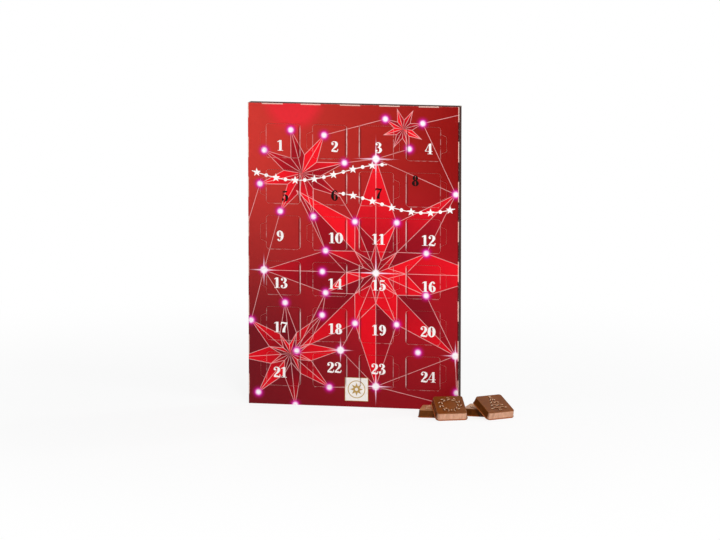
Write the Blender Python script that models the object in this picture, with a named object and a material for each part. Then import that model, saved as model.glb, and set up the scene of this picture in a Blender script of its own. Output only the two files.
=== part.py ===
"""A chocolate advent calendar: a flat printed carton with 24 creased doors, a formed tray
with 24 pockets, a moulded chocolate in each pocket, and four loose chocolates in front.

Metres, +Z up. The carton stands on its bottom edges with its printed front facing -Y.
The origin is the middle of the carton's bottom face.
"""

from math import cos, pi, radians, sin, sqrt, tan

import bmesh
import bpy
from mathutils import Euler, Matrix, Vector
from mathutils.geometry import tessellate_polygon

# Carton
CARTON_WIDTH = 0.240
CARTON_HEIGHT = 0.340
CARTON_DEPTH = 0.015
BOARD = 0.0006
FIT_GAP = 0.0003

# Doors, counted from the top left
DOOR_COLUMNS = 4
DOOR_ROWS = 6
DOOR_WIDTH = 0.0386
DOOR_HEIGHT = 0.0373
COLUMN_PITCH = 0.0532
TOP_MARGIN = 0.0233
BOTTOM_MARGIN = 0.0219
DOOR_CORNER = 0.0030
TAB_REACH = 0.0066
TAB_ROOT = 0.0220
TAB_TIP = 0.0163

# Chocolates, square, cast with their flat base at the pocket's mouth
CHOCOLATE_SIZE = 0.0366
CHOCOLATE_THICKNESS = 0.0086
CHOCOLATE_CORNER = 0.0040
FLASH_WIDTH = 0.0007
FLASH_THICKNESS = 0.0008
SIDE_DRAFT = 0.0010
TOP_EDGE = 0.0008
RELIEF_HEIGHT = 0.0007
RELIEF_ROOT = 0.0004
GIFT_GROW_SHARE = 1.30
BAUBLE_GROW_SHARE = 1.22
TREE_GROW_SHARE = 1.22
WREATH_GROW_SHARE = 1.40

# Tray
TRAY_SHEET = 0.0004
TRAY_CORNER = 0.0030
POCKET_RECESS = 0.0005
MOUTH_CLEARANCE = 0.0005

# Loose chocolates on the floor in front of the carton's lower right corner
GIFT_X = 0.1010
GIFT_FORWARD = 0.0345
GIFT_YAW = radians(4)
WREATH_YAW = radians(22)
BAUBLE_X = 0.1485
BAUBLE_FORWARD = 0.0165
BAUBLE_YAW = radians(-4)
TREE_YAW = radians(43)
LEAN = radians(26)
LEAN_ALONG = 0.0020

CORNER_STEPS = 2

FRONT = -CARTON_DEPTH / 2
BACK = CARTON_DEPTH / 2


def clear_scene():
    """Start from an empty scene, without closing the file that this runs from."""
    for item in list(bpy.data.objects):
        bpy.data.objects.remove(item, do_unlink=True)


def material(name, colour, roughness):
    """A Principled material of one colour."""
    made = bpy.data.materials.new(name)
    made.use_nodes = True
    shader = made.node_tree.nodes["Principled BSDF"]
    shader.inputs["Base Color"].default_value = (*colour, 1.0)
    shader.inputs["Roughness"].default_value = roughness
    shader.inputs["Metallic"].default_value = 0.0
    return made


def place(name, mesh, look, location=(0, 0, 0), rotation=(0, 0, 0)):
    """Put a mesh in the scene as a named object."""
    if not mesh.materials:
        mesh.materials.append(look)
    made = bpy.data.objects.new(name, mesh)
    made.location = location
    made.rotation_euler = rotation
    bpy.context.scene.collection.objects.link(made)
    return made


def closed_mesh(name, points, faces):
    """A mesh with its faces turned outwards."""
    mesh = bpy.data.meshes.new(name)
    mesh.from_pydata([tuple(point) for point in points], [], faces)
    bm = bmesh.new()
    bm.from_mesh(mesh)
    bmesh.ops.recalc_face_normals(bm, faces=bm.faces)
    bm.to_mesh(mesh)
    bm.free()
    return mesh


def rounded_rectangle(half_width, half_height, radius):
    """Corner arcs, anticlockwise from the right side's lower end, as (x, y) points."""
    outline = []
    for turn, (side, end) in enumerate([(1, 1), (-1, 1), (-1, -1), (1, -1)]):
        centre_x = side * (half_width - radius)
        centre_y = end * (half_height - radius)
        for step in range(CORNER_STEPS + 1):
            angle = (turn + step / CORNER_STEPS) * pi / 2
            outline.append((centre_x + radius * cos(angle), centre_y + radius * sin(angle)))
    return outline


def door_outline(tab_side, grow=0.0):
    """A door with its thumb tab, round the door's middle; grow widens it all round."""
    half_width = DOOR_WIDTH / 2 + grow
    outline = rounded_rectangle(half_width, DOOR_HEIGHT / 2 + grow, DOOR_CORNER + grow)
    flare = (TAB_ROOT - TAB_TIP) / 2 / TAB_REACH
    widen = grow * sqrt(1 + flare**2) - grow * flare
    root = TAB_ROOT / 2 + widen
    tip = TAB_TIP / 2 + widen
    reach = half_width + TAB_REACH
    tab = [(half_width, -root), (reach, -tip), (reach, tip), (half_width, root)]
    outline = tab + outline
    if tab_side < 0:
        outline = [(-x, y) for x, y in reversed(outline)]
    return outline


def slab(name, outline, holes, low, high):
    """A board in the XZ plane from y = low to y = high, with holes through it."""
    rings = [outline] + holes
    flat = [point for ring in rings for point in ring]
    triangles = tessellate_polygon([[Vector((x, z, 0)) for x, z in ring] for ring in rings])
    count = len(flat)
    points = [(x, low, z) for x, z in flat] + [(x, high, z) for x, z in flat]
    faces = [tuple(triangle) for triangle in triangles]
    faces += [tuple(count + index for index in reversed(triangle)) for triangle in triangles]
    start = 0
    for ring in rings:
        size = len(ring)
        for index in range(size):
            here = start + index
            after = start + (index + 1) % size
            faces.append((here, after, count + after, count + here))
        start += size
    return closed_mesh(name, points, faces)


def box_mesh(name, low, high):
    """A flat panel between two corners."""
    bm = bmesh.new()
    bmesh.ops.create_cube(bm, size=1.0)
    size = [b - a for a, b in zip(low, high)]
    middle = [(a + b) / 2 for a, b in zip(low, high)]
    bmesh.ops.scale(bm, vec=size, verts=bm.verts)
    bmesh.ops.translate(bm, vec=middle, verts=bm.verts)
    mesh = bpy.data.meshes.new(name)
    bm.to_mesh(mesh)
    bm.free()
    return mesh


def door_places():
    """Every door's middle as x and z, and the side that its tab is on, -1 for the left."""
    first_x = -COLUMN_PITCH * (DOOR_COLUMNS - 1) / 2
    first_z = CARTON_HEIGHT - TOP_MARGIN - DOOR_HEIGHT / 2
    last_z = BOTTOM_MARGIN + DOOR_HEIGHT / 2
    row_pitch = (first_z - last_z) / (DOOR_ROWS - 1)
    places = []
    for row in range(DOOR_ROWS):
        for column in range(DOOR_COLUMNS):
            x = first_x + column * COLUMN_PITCH
            z = first_z - row * row_pitch
            tab_side = -1 if column < DOOR_COLUMNS / 2 else 1
            places.append((x, z, tab_side))
    return places


def build_carton(printed, plain):
    """Six board panels, folded square, with a window behind each door."""
    half_width = CARTON_WIDTH / 2
    inner_front = FRONT + BOARD + FIT_GAP
    inner_back = BACK - BOARD - FIT_GAP
    outline = [
        (-half_width, 0),
        (half_width, 0),
        (half_width, CARTON_HEIGHT),
        (-half_width, CARTON_HEIGHT),
    ]
    windows = []
    for x, z, tab_side in door_places():
        windows.append([(x + u, z + v) for u, v in door_outline(tab_side, FIT_GAP)])
    place("front_panel", slab("front_panel", outline, windows, FRONT, FRONT + BOARD), printed)
    back = box_mesh(
        "back_panel",
        (-half_width, BACK - BOARD, 0),
        (half_width, BACK, CARTON_HEIGHT),
    )
    place("back_panel", back, plain)
    for name, outer, inner in [
        ("left_side_panel", -half_width, -half_width + BOARD),
        ("right_side_panel", half_width, half_width - BOARD),
    ]:
        low = (min(outer, inner), inner_front, 0)
        high = (max(outer, inner), inner_back, CARTON_HEIGHT)
        place(name, box_mesh(name, low, high), plain)
    end_half = half_width - BOARD - FIT_GAP
    for name, low_z in [("bottom_panel", 0), ("top_panel", CARTON_HEIGHT - BOARD)]:
        low = (-end_half, inner_front, low_z)
        high = (end_half, inner_back, low_z + BOARD)
        place(name, box_mesh(name, low, high), plain)


def build_doors(printed):
    """24 doors, each with its origin on its crease, at the front face."""
    meshes = {}
    for tab_side in (-1, 1):
        crease = -tab_side * DOOR_WIDTH / 2
        outline = [(x - crease, z) for x, z in door_outline(tab_side)]
        name = "door_left_tab" if tab_side < 0 else "door_right_tab"
        meshes[tab_side] = slab(name, outline, [], 0, BOARD)
    for number, (x, z, tab_side) in enumerate(door_places(), start=1):
        crease = x - tab_side * DOOR_WIDTH / 2
        place(f"door_{number:02d}", meshes[tab_side], printed, (crease, FRONT, z))


def pocket_outlines(x, z, grow):
    """A pocket's mouth and floor, widened by grow from the sheet's inner surface."""
    mouth_half = CHOCOLATE_SIZE / 2 + MOUTH_CLEARANCE + grow
    floor_half = CHOCOLATE_SIZE / 2 - FLASH_WIDTH - SIDE_DRAFT + FIT_GAP + grow
    corner = CHOCOLATE_CORNER + grow
    mouth = rounded_rectangle(mouth_half, mouth_half, corner)
    floor = rounded_rectangle(floor_half, floor_half, corner)
    return (
        [(x + u, z + v) for u, v in mouth],
        [(x + u, z + v) for u, v in floor],
    )


def build_tray(plastic):
    """A formed sheet: a flange behind the front panel, 24 pockets and a skirt to the back."""
    front = FRONT + BOARD + FIT_GAP
    skirt_end = BACK - BOARD - FIT_GAP
    depth = POCKET_RECESS + CHOCOLATE_THICKNESS + RELIEF_HEIGHT + FIT_GAP
    inset = BOARD + FIT_GAP
    half_width = CARTON_WIDTH / 2 - inset
    half_height = CARTON_HEIGHT / 2 - inset
    middle_z = CARTON_HEIGHT / 2

    def edge(shrink):
        outline = rounded_rectangle(half_width - shrink, half_height - shrink, TRAY_CORNER - shrink)
        return [(x, middle_z + z) for x, z in outline]

    points = []
    faces = []

    def add(outline, y):
        first = len(points)
        points.extend((x, y, z) for x, z in outline)
        return list(range(first, len(points)))

    def bridge(first, second):
        for index in range(len(first)):
            after = (index + 1) % len(first)
            faces.append((first[index], first[after], second[after], second[index]))

    def fill(rings):
        flat = [index for ring in rings for index in ring]
        loops = [[Vector((points[i][0], points[i][2], 0)) for i in ring] for ring in rings]
        for triangle in tessellate_polygon(loops):
            faces.append(tuple(flat[index] for index in triangle))

    def surface(behind):
        """One side of the sheet, this far behind its front face, down to the skirt's edge."""
        rim = add(edge(behind), front + behind)
        mouths = []
        for x, z, _ in door_places():
            mouth, floor = pocket_outlines(x, z, behind)
            mouth_ring = add(mouth, front + behind)
            floor_ring = add(floor, front + behind + depth)
            bridge(mouth_ring, floor_ring)
            fill([floor_ring])
            mouths.append(mouth_ring)
        fill([rim] + mouths)
        skirt = add(edge(behind), skirt_end)
        bridge(rim, skirt)
        return skirt

    bridge(surface(0.0), surface(TRAY_SHEET))
    place("chocolate_tray", closed_mesh("chocolate_tray", points, faces), plastic)


def polygon(*shares):
    """One raised shape, as shares of the chocolate's size from its middle."""
    return [(x * CHOCOLATE_SIZE, y * CHOCOLATE_SIZE) for x, y in shares]


def arc(radius_share, first, last, steps, centre=(0.0, 0.0)):
    """Points on an arc, in shares of the chocolate's size and degrees."""
    spread = [radians(first + (last - first) * step / steps) for step in range(steps + 1)]
    return [
        (centre[0] + radius_share * cos(a), centre[1] + radius_share * sin(a)) for a in spread
    ]


def grown(shapes, share):
    """The same shapes, this many times as large."""
    return [[(x * share, y * share) for x, y in shape] for shape in shapes]


def gift_relief():
    """A ribboned box: two sides, two halves of the lid, and a bow of two loops."""
    shapes = []
    for side in (-1, 1):
        box_share = [(0.025, -0.27), (0.20, -0.27), (0.20, 0.02), (0.025, 0.02)]
        lid_share = [(0.025, 0.045), (0.225, 0.045), (0.225, 0.125), (0.025, 0.125)]
        bow_share = [(0.015, 0.15), (0.10, 0.155), (0.19, 0.19), (0.17, 0.27), (0.08, 0.26)]
        for shape in (box_share, lid_share, bow_share):
            shapes.append(polygon(*[(side * x, y) for x, y in shape]))
    return shapes


def bauble_relief():
    """A round bauble in three bands, with its cap and hanging loop."""
    ball_share = 0.235
    drop_share = -0.05
    top = arc(ball_share, 30, 150, 4, (0.0, drop_share))
    middle_right = arc(ball_share, -22, 22, 2, (0.0, drop_share))
    middle_left = arc(ball_share, 158, 202, 2, (0.0, drop_share))
    bottom = arc(ball_share, 210, 330, 4, (0.0, drop_share))
    cap_share = [(-0.055, 0.205), (0.055, 0.205), (0.055, 0.255), (-0.055, 0.255)]
    loop = arc(0.028, 30, 330, 5, (0.0, 0.295))
    return [polygon(*shape) for shape in (top, middle_right + middle_left, bottom, cap_share, loop)]


def tree_relief():
    """A fir tree of four boughs with a trunk and a round top."""
    shapes = []
    for low_share, foot_share, head_share in [
        (-0.20, 0.235, 0.135),
        (-0.085, 0.185, 0.095),
        (0.03, 0.135, 0.055),
        (0.145, 0.085, 0.015),
    ]:
        bough_share = 0.085
        shapes.append(
            polygon(
                (-foot_share, low_share),
                (foot_share, low_share),
                (head_share, low_share + bough_share),
                (-head_share, low_share + bough_share),
            )
        )
    shapes.append(polygon((-0.04, -0.30), (0.04, -0.30), (0.04, -0.23), (-0.04, -0.23)))
    shapes.append(polygon(*arc(0.032, 0, 300, 5, (0.0, 0.28))))
    return shapes


def wreath_relief():
    """A ring of leaves with a bow at its foot."""
    leaves = 9
    bow_gap = radians(84)
    ring_share = 0.205
    leaf_length_share = 0.052
    leaf_width_share = 0.050
    shapes = []
    for leaf in range(leaves):
        angle = (bow_gap - pi) / 2 + (2 * pi - bow_gap) * leaf / (leaves - 1)
        out = Vector((cos(angle), sin(angle)))
        along = Vector((-sin(angle), cos(angle)))
        middle = out * ring_share
        corners = [
            middle - along * leaf_length_share,
            middle - out * leaf_width_share,
            middle + along * leaf_length_share,
            middle + out * leaf_width_share,
        ]
        shapes.append(polygon(*[tuple(corner) for corner in corners]))
    for side in (-1, 1):
        bow_share = [(side * 0.008, -0.205), (side * 0.075, -0.25), (side * 0.07, -0.16)]
        shapes.append(polygon(*bow_share))
    return shapes


def chocolate_body(name):
    """A rounded square with a thin flash round its base, drafted sides and a soft top edge."""
    half = CHOCOLATE_SIZE / 2
    foot = half - FLASH_WIDTH
    shoulder = foot - SIDE_DRAFT
    top = shoulder - TOP_EDGE
    profile = [
        (half, 0.0),
        (half, FLASH_THICKNESS),
        (foot, FLASH_THICKNESS),
        (shoulder, CHOCOLATE_THICKNESS - TOP_EDGE),
        (top, CHOCOLATE_THICKNESS),
    ]
    points = []
    faces = []
    for reach, z in profile:
        corner = CHOCOLATE_CORNER - (half - reach)
        points += [(x, y, z) for x, y in rounded_rectangle(reach, reach, corner)]
    around = len(points) // len(profile)
    for level in range(len(profile) - 1):
        for index in range(around):
            after = (index + 1) % around
            low = level * around
            high = low + around
            faces.append((low + index, low + after, high + after, high + index))
    faces.append(tuple(reversed(range(around))))
    faces.append(tuple(range(len(points) - around, len(points))))
    return closed_mesh(name, points, faces)


def relief_mesh(name, shapes):
    """Raised shapes that stand on a chocolate's top face, as separate closed prisms."""
    points = []
    faces = []
    low = CHOCOLATE_THICKNESS - RELIEF_ROOT
    high = CHOCOLATE_THICKNESS + RELIEF_HEIGHT
    for shape in shapes:
        first = len(points)
        count = len(shape)
        points += [(x, y, low) for x, y in shape]
        points += [(x, y, high) for x, y in shape]
        faces.append(tuple(range(first + count - 1, first - 1, -1)))
        faces.append(tuple(range(first + count, first + 2 * count)))
        for index in range(count):
            here = first + index
            after = first + (index + 1) % count
            faces.append((here, after, count + after, count + here))
    return closed_mesh(name, points, faces)


def chocolate_mesh(name, shapes):
    """A chocolate with its relief joined to it, as one closed body."""
    body = bpy.data.objects.new(name + "_body", chocolate_body(name + "_body"))
    relief = bpy.data.objects.new(name + "_relief", relief_mesh(name + "_relief", shapes))
    for item in (body, relief):
        bpy.context.scene.collection.objects.link(item)
    join = body.modifiers.new("relief", "BOOLEAN")
    join.operation = "UNION"
    join.solver = "EXACT"
    join.object = relief
    bpy.context.view_layer.update()
    graph = bpy.context.evaluated_depsgraph_get()
    made = bpy.data.meshes.new_from_object(body.evaluated_get(graph))
    made.name = name
    for item in (body, relief):
        bpy.data.objects.remove(item, do_unlink=True)
    made.materials.clear()
    made.shade_smooth()
    made.set_sharp_from_angle(angle=radians(35))
    return made


def build_tray_chocolates(meshes, chocolate):
    """A chocolate in each pocket, flat base to the door and relief to the pocket's floor."""
    y = FRONT + BOARD + FIT_GAP + POCKET_RECESS
    facing_back = Matrix(((-1, 0, 0), (0, 0, 1), (0, 1, 0))).to_euler()
    for number, (x, z, _) in enumerate(door_places(), start=1):
        mesh = meshes[(number - 1) % len(meshes)]
        place(f"chocolate_{number:02d}", mesh, chocolate, (x, y, z), facing_back)


def leaning_place(flat_middle, flat_yaw, yaw):
    """Where a chocolate lies that leans on the front right corner of a flat one."""
    top_inset = FLASH_WIDTH + SIDE_DRAFT + TOP_EDGE
    corner_middle = CHOCOLATE_SIZE / 2 - CHOCOLATE_CORNER
    corner_radius = CHOCOLATE_CORNER - top_inset
    corner = Matrix.Rotation(flat_yaw, 2) @ Vector((corner_middle, -corner_middle))
    reach = (CHOCOLATE_THICKNESS + FIT_GAP / cos(LEAN)) / tan(LEAN)
    lie = Matrix.Rotation(yaw, 2)
    floor_edge = flat_middle + corner + lie @ Vector((LEAN_ALONG, -corner_radius - reach))
    tilt = Euler((LEAN, 0, yaw)).to_matrix()
    return Vector((*floor_edge, 0)) + tilt @ Vector((0, CHOCOLATE_SIZE / 2, 0))


def build_loose_chocolates(gift, bauble, tree, wreath, chocolate):
    """Two chocolates flat on the floor, and one that leans on each."""
    for flat, flat_mesh, x, forward, flat_yaw, upper, upper_mesh, yaw in [
        ("gift", gift, GIFT_X, GIFT_FORWARD, GIFT_YAW, "wreath", wreath, WREATH_YAW),
        ("bauble", bauble, BAUBLE_X, BAUBLE_FORWARD, BAUBLE_YAW, "tree", tree, TREE_YAW),
    ]:
        middle = Vector((x, FRONT - forward))
        place(f"loose_{flat}_chocolate", flat_mesh, chocolate, (*middle, 0), (0, 0, flat_yaw))
        high = leaning_place(middle, flat_yaw, yaw)
        place(f"loose_{upper}_chocolate", upper_mesh, chocolate, high, (LEAN, 0, yaw))


def main():
    clear_scene()
    printed = material("printed_board", (0.42, 0.02, 0.03), 0.32)
    plain = material("plain_board", (0.09, 0.045, 0.035), 0.45)
    plastic = material("tray_plastic", (0.80, 0.76, 0.68), 0.25)
    chocolate = material("milk_chocolate", (0.22, 0.085, 0.035), 0.38)

    build_carton(printed, plain)
    build_doors(printed)
    build_tray(plastic)
    gift = chocolate_mesh("gift_chocolate", grown(gift_relief(), GIFT_GROW_SHARE))
    bauble = chocolate_mesh("bauble_chocolate", grown(bauble_relief(), BAUBLE_GROW_SHARE))
    tree = chocolate_mesh("tree_chocolate", grown(tree_relief(), TREE_GROW_SHARE))
    wreath = chocolate_mesh("wreath_chocolate", grown(wreath_relief(), WREATH_GROW_SHARE))
    build_tray_chocolates([gift, bauble, tree, wreath], chocolate)
    build_loose_chocolates(gift, bauble, tree, wreath, chocolate)


main()
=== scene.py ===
"""The looks of the chocolate advent calendar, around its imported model.

Metres, +Z up, printed front towards -Y. The carton's print, cut edges, folds and inside
come from where a point lies in the piece's own coordinates, so an opened door keeps its print.
"""

from functools import partialmethod
from math import atan, cos, hypot, pi, radians, sin, tan

import bmesh
import bpy
import numpy as np
from mathutils import Euler, Matrix, Vector
from mathutils.geometry import tessellate_polygon


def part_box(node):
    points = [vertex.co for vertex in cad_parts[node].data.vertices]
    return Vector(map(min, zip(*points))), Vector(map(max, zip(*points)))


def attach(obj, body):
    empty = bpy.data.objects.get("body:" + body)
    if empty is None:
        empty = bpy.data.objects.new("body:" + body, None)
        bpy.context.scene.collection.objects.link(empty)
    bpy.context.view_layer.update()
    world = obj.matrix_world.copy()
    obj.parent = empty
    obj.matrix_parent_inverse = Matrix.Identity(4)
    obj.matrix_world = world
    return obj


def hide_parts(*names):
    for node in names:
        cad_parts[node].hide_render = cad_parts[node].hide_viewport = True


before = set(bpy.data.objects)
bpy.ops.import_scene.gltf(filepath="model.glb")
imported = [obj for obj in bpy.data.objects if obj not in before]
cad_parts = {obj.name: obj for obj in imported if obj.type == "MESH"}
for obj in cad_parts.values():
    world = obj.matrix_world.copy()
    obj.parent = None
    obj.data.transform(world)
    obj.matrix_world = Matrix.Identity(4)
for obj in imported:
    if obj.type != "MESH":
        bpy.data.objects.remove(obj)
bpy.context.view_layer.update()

MM = 0.001
IN_MM = 1000.0

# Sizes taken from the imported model
CARTON_LOW, CARTON_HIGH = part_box("front_panel")
BACK_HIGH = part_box("back_panel")[1]
TRAY_LOW, TRAY_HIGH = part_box("chocolate_tray")
FRONT = CARTON_LOW.y
BACK = BACK_HIGH.y
BOARD = CARTON_HIGH.y - CARTON_LOW.y
HALF_WIDTH = CARTON_HIGH.x
HEIGHT = CARTON_HIGH.z
DOORS = 24
COLUMNS = 4
LAST_DOOR_LOW, LAST_DOOR_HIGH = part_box("door_24")
FIRST_DOOR_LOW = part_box("door_01")[0]
SECOND_DOOR_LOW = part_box("door_02")[0]
DOOR_HEIGHT = LAST_DOOR_HIGH.z - LAST_DOOR_LOW.z
COLUMN_PITCH = SECOND_DOOR_LOW.x - FIRST_DOOR_LOW.x
ROW_PITCH = (FIRST_DOOR_LOW.z - LAST_DOOR_LOW.z) / (DOORS // COLUMNS - 1)

# Finer shape of the same pieces; a rolled edge is (out from the cut, deep), in millimetres
TAB_REACH = 6.6 * MM
TAB_ROOT = 22.0 * MM
TAB_TIP = 16.3 * MM
TAB_ROUND = 1.2 * MM
DOOR_CORNER = 3.0 * MM
DOOR_WIDTH = LAST_DOOR_HIGH.x - LAST_DOOR_LOW.x - TAB_REACH
CUT_GAP = 0.3 * MM
ROLLED_EDGE = [(0.50, 0.0), (0.22, 0.012), (0.03, 0.05), (-0.09, 0.10), (-0.09, 0.14), (0.0, 0.17)]
FOLD_RADIUS = 0.55 * MM
FOLD_STEPS = 5
PANEL_GAP = 0.02 * MM
CREASE_RADIUS = 0.27 * MM
CREASE_STEPS = 10
CORNER_STEPS = 8
NICKS = 12
NICK_WIDTH = 0.55 * MM
NICK_REACH = 0.26 * MM

# Ink of the numbers; their middles are pixels of the photograph
NUMBER_HEIGHT = 11.8 * MM
NUMBER_WIDEN = 1.17
THINNEST_STROKE = 0.045
STROKE_GAIN = 0.028
OVAL_STEPS = 28
BALL_STEPS = 20
INK = 0.020 * MM
INK_LAYER = 0.003 * MM
NUMBER_PX = [
    (281.5, 145.5), (335, 145.5), (378, 145.5), (427, 145.5),
    (286, 196), (335, 194), (378, 191), (414, 177.5),
    (281, 236), (336, 236.5), (378, 236.5), (427, 236.5),
    (281.5, 283), (335.5, 282.5), (378.5, 282.5), (427.5, 282.5),
    (281.5, 327.5), (335.5, 327.5), (378.5, 327.5), (426.5, 327.5),
    (281, 373), (334.5, 366.5), (378, 366.5), (427, 373),
]

# The print, in millimetres across from the middle and up from the foot.
# A star: middle, reach, notch, turn, number, lit tips (0 none, 1 outer, 2 the notches too)
PRINT_WIDTH = 240.0
PRINT_HEIGHT = 340.0
STAR_POINTS = 8
STAR_MIDDLE = (26, 152)
PLATE_MIDDLE = (4.0, 20.0)
PLATE_HALF = 13.3
STARS = [
    ((-58, 262), 50, 21, 0.26, 5, 1),
    ((-72, 58), 58, 25, 0.10, 7, 1), ((-72, 58), 25, 10, 0.10 + pi / 8, 8, 0),
    ((57, 314), 23, 10, 0.30, 9, 0),
    (STAR_MIDDLE, 128, 62, 0.0, 1, 2), (STAR_MIDDLE, 62, 34, pi / 8, 2, 1),
    (STAR_MIDDLE, 34, 15, 0.0, 3, 0),
]
NETWORK = [
    ((-9.7, 274.9), (26, 280)), ((-32.9, 305.3), (36.7, 324.8)), ((-14.7, 236.9), (2.3, 209.3)),
    ((-45.1, 213.7), (-31.3, 175.7)), ((-83.1, 218.7), (-102, 152)), ((-106.3, 249.1), (-120, 206)),
    ((-102, 152), (-77.8, 115.7)), ((-102, 152), (-116.9, 94.7)), ((-35.3, 102.9), (-31.3, 128.3)),
    ((-14.3, 63.8), (26, 24)), ((-14.3, 63.8), (2.3, 94.7)), ((-27.1, 21.3), (26, 24)),
    ((26, 24), (116.5, 61.5)), ((26, 24), (120, 3)), ((116.5, 61.5), (118, 20)),
    ((116.5, 61.5), (49.7, 94.7)), ((26, 280), (63.8, 292)), ((26, 280), (116.5, 242.5)),
    ((79, 320.8), (116.5, 242.5)), ((79, 320.8), (120, 331)),
]
LIGHTS = [(118, 20), (-35, 152), (74, 64), (79, 320.8), (36.7, 324.8), (63.8, 292)]
DARK_TIPS = [(-64.5, 242.5), (-14.7, 236.9)]
GLINTS = [
    (26, 280, 30), (-102, 152, 22), (116.5, 61.5, 20), (26, 152, 34), (-14.3, 63.8, 18), (26, 24, 26),
]
GARLANDS = [(264.0, -115.5, 38.5, 0.4), (231.0, -16.5, 115.5, 2.3)]
GARLAND_SWING = 10.0
GARLAND_PITCH = 11.0
GARLAND_WAVE = 33.0
FOLD_PITCH = 44.6
FOLD_DASH = 0.51
GLUE_FLAP = 17.0
BACK_FRAME = 13.3
BACK_STARS = (30.0, 27.2, 12.0)
GARLAND_WHITE = (255, 250, 248)

# Chocolates
CHOCOLATE_SIZE = 36.6 * MM
CHOCOLATE_THICKNESS = 8.6 * MM
CHOCOLATE_CORNER = 4.0 * MM
CAST_CORNER = 4.7 * MM
TOP_ROUND = 0.8 * MM
RELIEF_HEIGHT = 0.7 * MM
TOP_INSET = 2.5 * MM
LEAN = radians(26)
LEAN_ALONG = 2.0 * MM
TRAY_GRID = 40
LOOSE_GRID = 128

# The camera is set by where the front lies in the 720 x 540 photograph
PHOTO_WIDTH = 720
PHOTO_HEIGHT = 540
FRONT_LEFT_PX = 249.5
FRONT_RIGHT_PX = 456.5
FRONT_TOP_PX = 103.5
FRONT_BOTTOM_PX = 405.5
CAMERA_AZIMUTH = radians(12)
CAMERA_ELEVATION = radians(8)
CAMERA_DISTANCE = 5.0
SETTLE_PX = 2.0
SENSOR_WIDTH = 36.0
WORLD_LIGHT = 0.26
FLOOR_GLOW = 0.84
FLOOR_REACH = 14.0

# Name, place, aim, size and power of each lamp
LAMPS = [
    ("key", (0.9, -2.5, 1.5), (0.05, 0, 0.10), 0.5, 38),
    ("left", (-2.4, -1.8, 1.4), (0, 0, 0.15), 1.5, 6),
    ("fill", (2.3, -1.3, 1.1), (0, 0, 0.15), 1.0, 17),
    ("rim", (1.5, 1.3, 1.5), (0.10, -0.04, 0.0), 0.45, 10),
    ("back", (-1.2, 2.8, 1.5), (0, 0, 0.15), 1.2, 14),
    ("top", (0.3, -0.5, 2.6), (0.05, -0.05, 0.0), 0.9, 6),
]


def srgb(red, green, blue):
    """A colour of 0 to 255 as linear values with alpha."""
    def linear(value):
        value = value / 255
        return value / 12.92 if value <= 0.04045 else ((value + 0.055) / 1.055) ** 2.4
    return (linear(red), linear(green), linear(blue), 1.0)


def wire(tree, slots, values):
    """Gives each input its field, socket or constant."""
    for slot, value in zip(slots, values):
        if isinstance(value, Field):
            value = value.socket
        if isinstance(value, bpy.types.NodeSocket):
            tree.links.new(value, slot)
        else:
            slot.default_value = value


class Field:
    """A number that varies over a surface, built from shader maths."""

    def __init__(self, tree, socket):
        self.tree = tree
        self.socket = socket

    def run(self, operation, *others):
        node = self.tree.nodes.new("ShaderNodeMath")
        node.operation = operation
        wire(self.tree, node.inputs, (self,) + others)
        return Field(self.tree, node.outputs[0])

    def __rsub__(self, other):
        return self.run("MULTIPLY", -1.0) + other

    def ramp(self, low, high, start=0.0, end=1.0):
        """Runs smoothly from start at low to end at high."""
        node = self.tree.nodes.new("ShaderNodeMapRange")
        node.interpolation_type = "SMOOTHSTEP"
        slots = [node.inputs[name] for name in ("Value", "From Min", "From Max", "To Min", "To Max")]
        limits = (high, low, end, start) if low > high else (low, high, start, end)
        wire(self.tree, slots, (self,) + limits)
        return Field(self.tree, node.outputs["Result"])


for method, shader_operation in {
    "__add__": "ADD", "__radd__": "ADD", "__sub__": "SUBTRACT", "__mul__": "MULTIPLY",
    "__rmul__": "MULTIPLY", "__truediv__": "DIVIDE", "size": "ABSOLUTE", "least": "MINIMUM",
    "most": "MAXIMUM", "over": "GREATER_THAN", "under": "LESS_THAN", "power": "POWER", "round": "ROUND",
    "fraction": "FRACT", "sine": "SINE", "cosine": "COSINE", "angle_from": "ARCTAN2",
    "modulo": "FLOORED_MODULO",
}.items():
    setattr(Field, method, partialmethod(Field.run, shader_operation))


def length(u, w):
    """The distance from the origin of a plane."""
    return (u * u + w * w).power(0.5)


def nearest(first, second):
    """The smaller of two distances, of which the first may be missing."""
    return second if first is None else first.least(second)


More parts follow.
